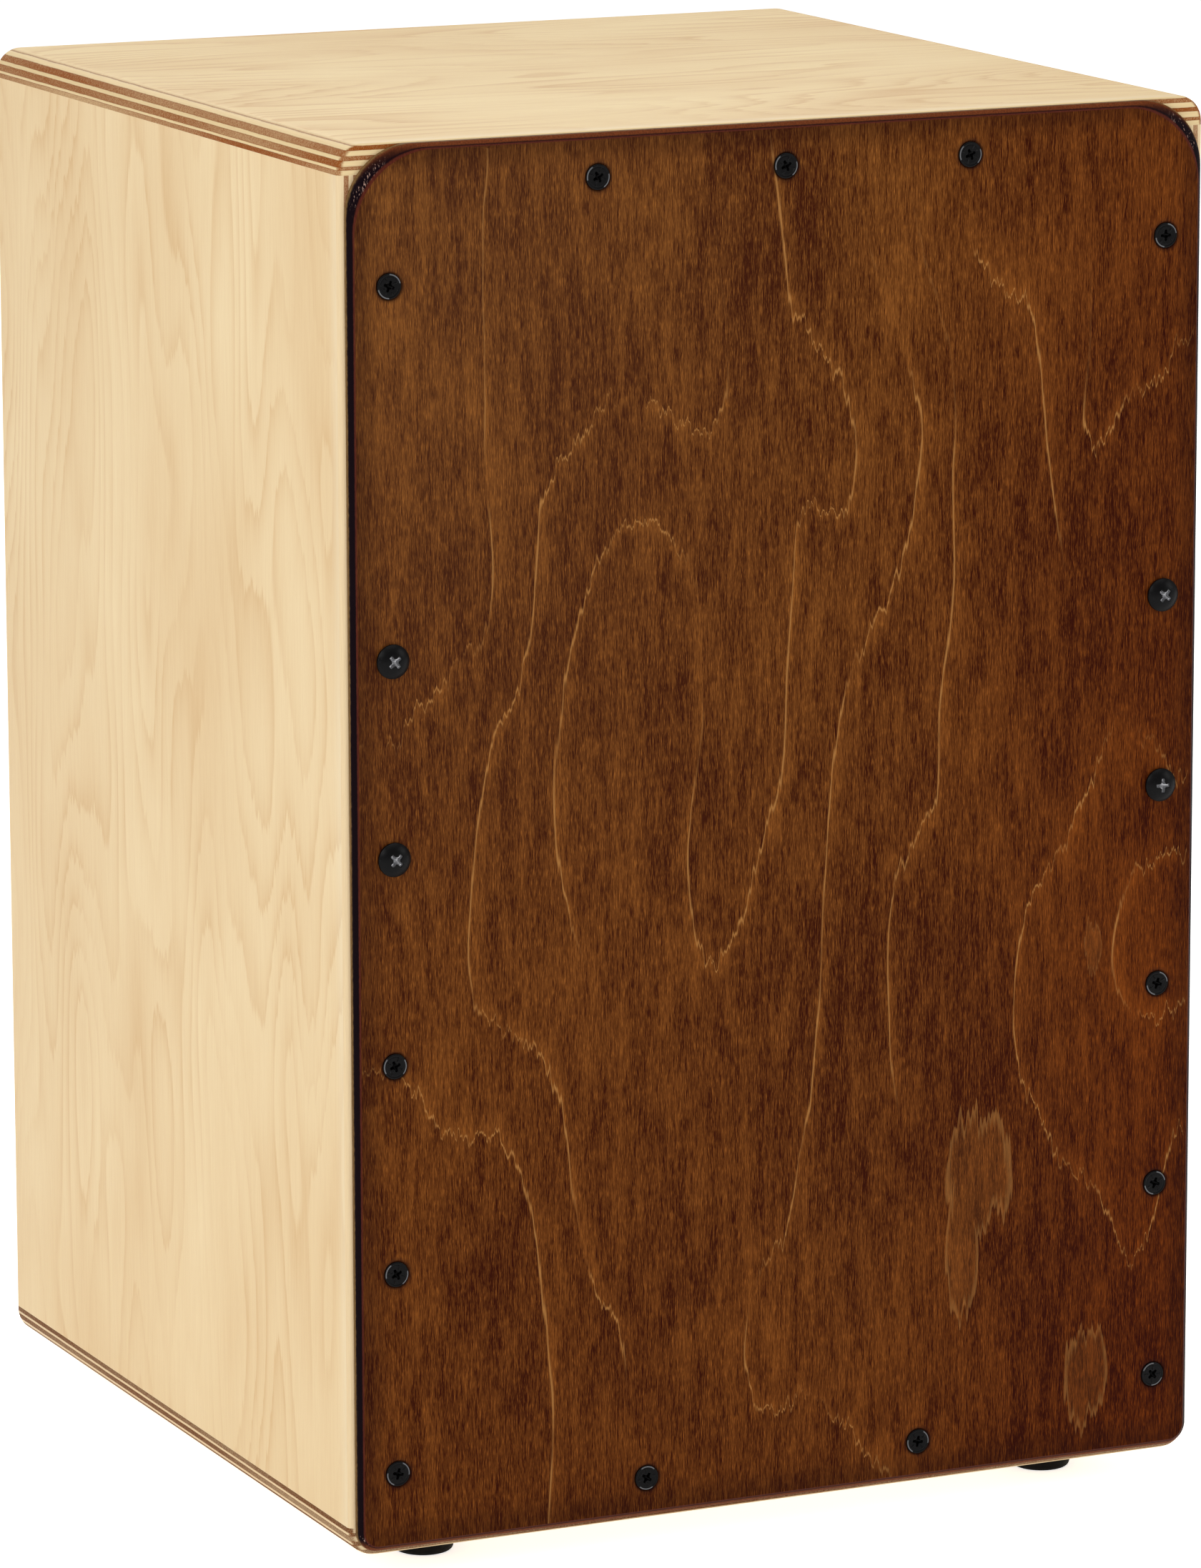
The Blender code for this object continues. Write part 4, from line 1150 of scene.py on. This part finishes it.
FLAT_HEAD, FLAT_PROUD = 0.0040, 0.0001
PAN_HEAD, PAN_TALL = 0.0054, 0.0026
PLATE_SHANK = 0.00175
for node in flat_screws:
    (x, z), length = screw_centre(node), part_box(node)[1].y - face_y
    drive_screw(node, FLAT_HEAD, FLAT_PROUD, PLATE_SHANK, length, True, FACING_FRONT, black_steel,
                "black_steel", (x, face_y, z))
for node in pan_screws:
    (x, z), (low, high) = screw_centre(node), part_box(node)
    drive_screw(node, PAN_HEAD, PAN_TALL, PLATE_SHANK, high.y - low.y - PAN_TALL, False, FACING_FRONT,
                black_steel, "black_steel", (x, low.y + PAN_TALL, z))
print(len(flat_screws), "flat and", len(pan_screws), "pan-head screws hold the plate")

# %% [markdown]
# ## Feet
# Each foot is a turned rubber button with a recess for its washer and screw. Its outside leans out
# towards the box, and a fine line shows where the halves of the mould met.

# %% Feet, washers and their screws
def turned(profile, columns, place):
    """A profile of (radius, height) pairs turned about an upright axis through a place."""
    angle = np.linspace(0, 2 * math.pi, columns, endpoint=False)
    radius, height = np.array(profile).T
    return np.stack([place[0] + np.outer(radius, np.cos(angle)), place[1] + np.outer(radius, np.sin(angle)),
                     place[2] + np.repeat(height[:, None], columns, axis=1)], axis=-1)


FOOT_BOTTOM, FOOT_SOFT, FOOT_RECESS, RECESS_DEEP, FOOT_BORE = 0.0097, 0.0016, 0.0052, 0.0060, 0.0020
RIM_SOFT, RECESS_SOFT, MOULD_LINE, MOULD_PLACE = 0.0005, 0.0003, 0.00009, 0.62
WASHER_SOFT = 0.0002
HEAD_DOWN = math.pi
DRIVEN_HEAD, DRIVEN_TALL = 0.0036, 0.0022
FOOT_SHANK = 0.0017


def foot_profile(top_radius, tall):
    """Up the outside over a soft bottom edge and a mould line, across the top, and down the bore."""
    t = quarter(6)
    points = [(FOOT_RECESS + 0.0004, 0.0)]
    points += list(zip(FOOT_BOTTOM - FOOT_SOFT * (1 - np.sin(t)), FOOT_SOFT * (1 - np.cos(t))))
    middle = np.linspace(FOOT_SOFT, tall - 0.0006, 10)[1:-1]
    flank = FOOT_BOTTOM + (top_radius - FOOT_BOTTOM) * middle / tall
    mould = MOULD_LINE * np.exp(-((middle - MOULD_PLACE * tall) / 0.00035) ** 2)
    points += list(zip(flank + mould, middle))
    points += list(zip(top_radius - RIM_SOFT * (1 - np.cos(t)), tall - RIM_SOFT * (1 - np.sin(t))))
    points += [(FOOT_BORE, tall), (FOOT_BORE, RECESS_DEEP), (FOOT_RECESS - RECESS_SOFT, RECESS_DEEP),
               (FOOT_RECESS, RECESS_DEEP - RECESS_SOFT), (FOOT_RECESS, 0.0004)]
    return points


def washer_profile(inside, outside, low, high):
    """A flat ring's section with its four corners cut off."""
    soft = WASHER_SOFT
    return [(inside, low + soft), (inside + soft, low), (outside - soft, low), (outside, low + soft),
            (outside, high - soft), (outside - soft, high), (inside + soft, high), (inside, high - soft)]


for corner in ("front_left", "front_right", "back_left", "back_right"):
    low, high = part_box("foot_" + corner)
    centre = ((low.x + high.x) / 2, (low.y + high.y) / 2, 0.0)
    rubber = turned(foot_profile((high.x - low.x) / 2, high.z), 96, centre)
    button = skin("button_" + corner, rubber, moulded_rubber, loop=True)
    stands_for(button, "black_rubber", "foot_" + corner)

    low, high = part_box("foot_washer_" + corner)
    ring = turned(washer_profile(FOOT_BORE, (high.x - low.x) / 2, low.z, high.z), 72, centre)
    washer = skin("washer_" + corner, ring, zinc_steel, loop=True, sharp=30)
    stands_for(washer, "bright_steel", "foot_washer_" + corner)

    low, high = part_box("foot_screw_" + corner)
    drive_screw("foot_screw_" + corner, DRIVEN_HEAD, DRIVEN_TALL, FOOT_SHANK, high.z - low.z - DRIVEN_TALL,
                False, HEAD_DOWN, zinc_steel, "bright_steel", (*centre[:2], low.z + DRIVEN_TALL))

# %% [markdown]
# ## Cleats, rail and blocks
# Inside, softwood strips are glued in the corners for the screws to bite. They need no new shape, so
# the frame's own strips stay, and only get the finish of planed spruce: straight, quiet grain with a
# darker line for each winter.

# %% Softwood
def spruce_finish(name, grain, seed):
    """Planed softwood with its grain along X or Z: winter lines are a sawtooth of the distance
    across the grain, bent by slow noise."""
    made = new_finish(name)
    tree = made.node_tree
    place, _ = read_place(tree)
    along = place[AXES[grain]]
    across = place[0] if grain == "Z" else place[2]
    bend = noise(tree, across / 20, along / 120, place[1] / 20 + seed, 2.0)
    winter = ((across + place[1] * 0.6) / 2.4 + bend * 5.0) % 1.0
    fibre = noise(tree, across / 0.5, along / 30, place[1] / 0.5, 3.0, 0.6)
    shade = winter ** 4.0 * 0.6 + (fibre - 0.5) * 0.5 + 0.15
    colour = mix(tree, shade.limited(), paint(232, 200, 152), paint(178, 126, 74))
    finish_with(tree, colour, 0.62 + (fibre - 0.5) * 0.2, fibre, 0.00008, Specular_IOR_Level=0.3)
    return made


upright_spruce = spruce_finish("spruce_upright", "Z", 2.0)
level_spruce = spruce_finish("spruce_level", "X", 6.0)
strips = [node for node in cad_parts
          if "_cleat_" in node or node.startswith(("rail_block", "snare_rail"))]
for node in strips:
    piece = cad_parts[node]
    piece.data.materials.clear()
    piece.data.materials.append(upright_spruce if node.endswith(("_left", "_right")) else level_spruce)
print(len(strips), "pieces of softwood hold the box together")

# %% [markdown]
# ## Snares
# Each snare set is a row of fine steel coils soldered to a flat strip. A coil is a wire wound round a
# straight line: its middle line is a helix, and the wire's skin is a small circle carried along it.
# That makes each coil a grid of two numbers, the distance along the helix and the turn round the wire.

# %% Snare coils and strips
STRANDS, COIL_TURNS, POINTS_PER_TURN, POINTS_ROUND_WIRE = 12, 100, 10, 5
COIL_RADIUS, WIRE_RADIUS = 0.00056, 0.00021
STRIP_HEIGHT, STRIP_MARGIN, STRIP_CORNER = 0.012, 0.0008, 0.0012
COIL_IN_STRIP, TIP_DROP = 0.003, 0.0003
RIGHTWARD = np.array((1.0, 0.0, 0.0))


def coil(start, end):
    """A helix from start to end. Its middle line is the straight line plus radius * (cos, sin) of
    the turn, in the two directions square to the line, and the wire's skin is a circle round it."""
    line = end - start
    length = np.linalg.norm(line)
    line = line / length
    upright = np.cross(line, RIGHTWARD)
    turn = np.linspace(0, 2 * math.pi * COIL_TURNS, COIL_TURNS * POINTS_PER_TURN + 1)
    outward = np.outer(np.cos(turn), RIGHTWARD) + np.outer(np.sin(turn), upright)
    onward = np.outer(-np.sin(turn), RIGHTWARD) + np.outer(np.cos(turn), upright)
    middle = start + np.outer(turn / turn[-1] * length, line) + COIL_RADIUS * outward
    tangent = COIL_RADIUS * onward + length / (2 * math.pi * COIL_TURNS) * line
    tangent /= np.linalg.norm(tangent, axis=1)[:, None]
    binormal = np.cross(tangent, outward)
    around = np.linspace(0, 2 * math.pi, POINTS_ROUND_WIRE, endpoint=False)[None, :, None]
    circle = np.cos(around) * outward[:, None, :] + np.sin(around) * binormal[:, None, :]
    return middle[:, None, :] + WIRE_RADIUS * circle


def merged(name, grids, finish):
    """Several open tubes as one piece, with each end closed by a cap."""
    faces, first = [], 0
    for grid in grids:
        index = np.arange(first, first + grid.shape[0] * grid.shape[1]).reshape(grid.shape[:2])
        faces += grid_faces(index) + [index[0][::-1].tolist(), index[-1].tolist()]
        first += index.size
    return put_mesh(name, np.concatenate([grid.reshape(-1, 3) for grid in grids]), faces, finish, 50)


def snare_line(node, near=0.003):
    """The middle of a snare set's foot and of its tips, seen from the side, from its node's points."""
    points = node_points(node)
    ends = []
    for part in (points[:, 2] < points[:, 2].min() + near, points[:, 2] > points[:, 2].max() - near):
        ends.append(points[part].mean(axis=0) * (0, 1, 1))
    return ends


for side in ("left", "right"):
    node = "snare_wires_" + side
    low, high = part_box(node)
    bottom, top = snare_line(node)
    lean = (top - bottom) / np.linalg.norm(top - bottom)
    behind = np.array((0, lean[2], -lean[1]))
    strands = np.linspace(low.x + STRIP_MARGIN, high.x - STRIP_MARGIN, STRANDS)[:, None] * RIGHTWARD
    begin = bottom + lean * (STRIP_HEIGHT - COIL_IN_STRIP)
    coils = [coil(begin + strand, top - lean * TIP_DROP + strand) for strand in strands]
    wires = stands_for(merged("snare_coils_" + side, coils, zinc_steel), "bright_steel", node)

    half, centre = (high.x - low.x) / 2, bottom + (high.x + low.x) / 2 * RIGHTWARD
    rows = []
    for depth, inset in ((-0.0007, 0.0002), (-0.0005, 0.0), (0.0005, 0.0), (0.0007, 0.0002)):
        outline = rounded_section((inset - half, inset), (half - inset, STRIP_HEIGHT - inset),
                                  (STRIP_CORNER - inset,) * 4, 6)
        rows.append(centre + outline[:, :1] * RIGHTWARD + outline[:, 1:] * lean + behind * depth)
    strip = skin("snare_strip_" + side, np.array(rows), zinc_steel, ends="cap", sharp=30)
    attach(strip, "root")
    print(side, "snares:", len(wires.data.polygons), "faces")

# %% Screws of the strips and of the rail
SNARE_HEAD, SNARE_TALL, SNARE_SHANK, SNARE_LONG, SNARE_TURN = 0.0029, 0.0019, 0.0013, 0.012, 1.5
tilt = FACING_FRONT + math.atan2(-lean[1], lean[2])
forward, upward = math.sin(tilt), math.cos(tilt)
for node in sorted(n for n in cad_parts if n.startswith("snare_screw")):
    low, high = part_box(node)
    seat = (screw_centre(node)[0], low.y + SNARE_TALL * forward + SNARE_HEAD * abs(upward),
            high.z - SNARE_HEAD * forward - max(upward, 0) * SNARE_TALL)
    drive_screw(node, SNARE_HEAD, SNARE_TALL, SNARE_SHANK, SNARE_LONG, False, tilt, zinc_steel,
                "bright_steel", seat, SNARE_TURN)
for node in ("rail_screw_left", "rail_screw_right"):
    low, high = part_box(node)
    seat = ((low.x + high.x) / 2, (low.y + high.y) / 2, high.z - DRIVEN_TALL)
    drive_screw(node, DRIVEN_HEAD, DRIVEN_TALL, PLATE_SHANK, seat[2] - low.z, False, 0.0, zinc_steel,
                "bright_steel", seat)

# %% [markdown]
# ## Sizes at the end
# The last cell prints the frame's own box and the box of every piece that shows.

# %% Sizes and the end
low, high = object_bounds()
print("frame", [round(v, 5) for v in (*cad_low, *cad_high)])
print("looks", [round(v, 5) for v in (*low, *high)])
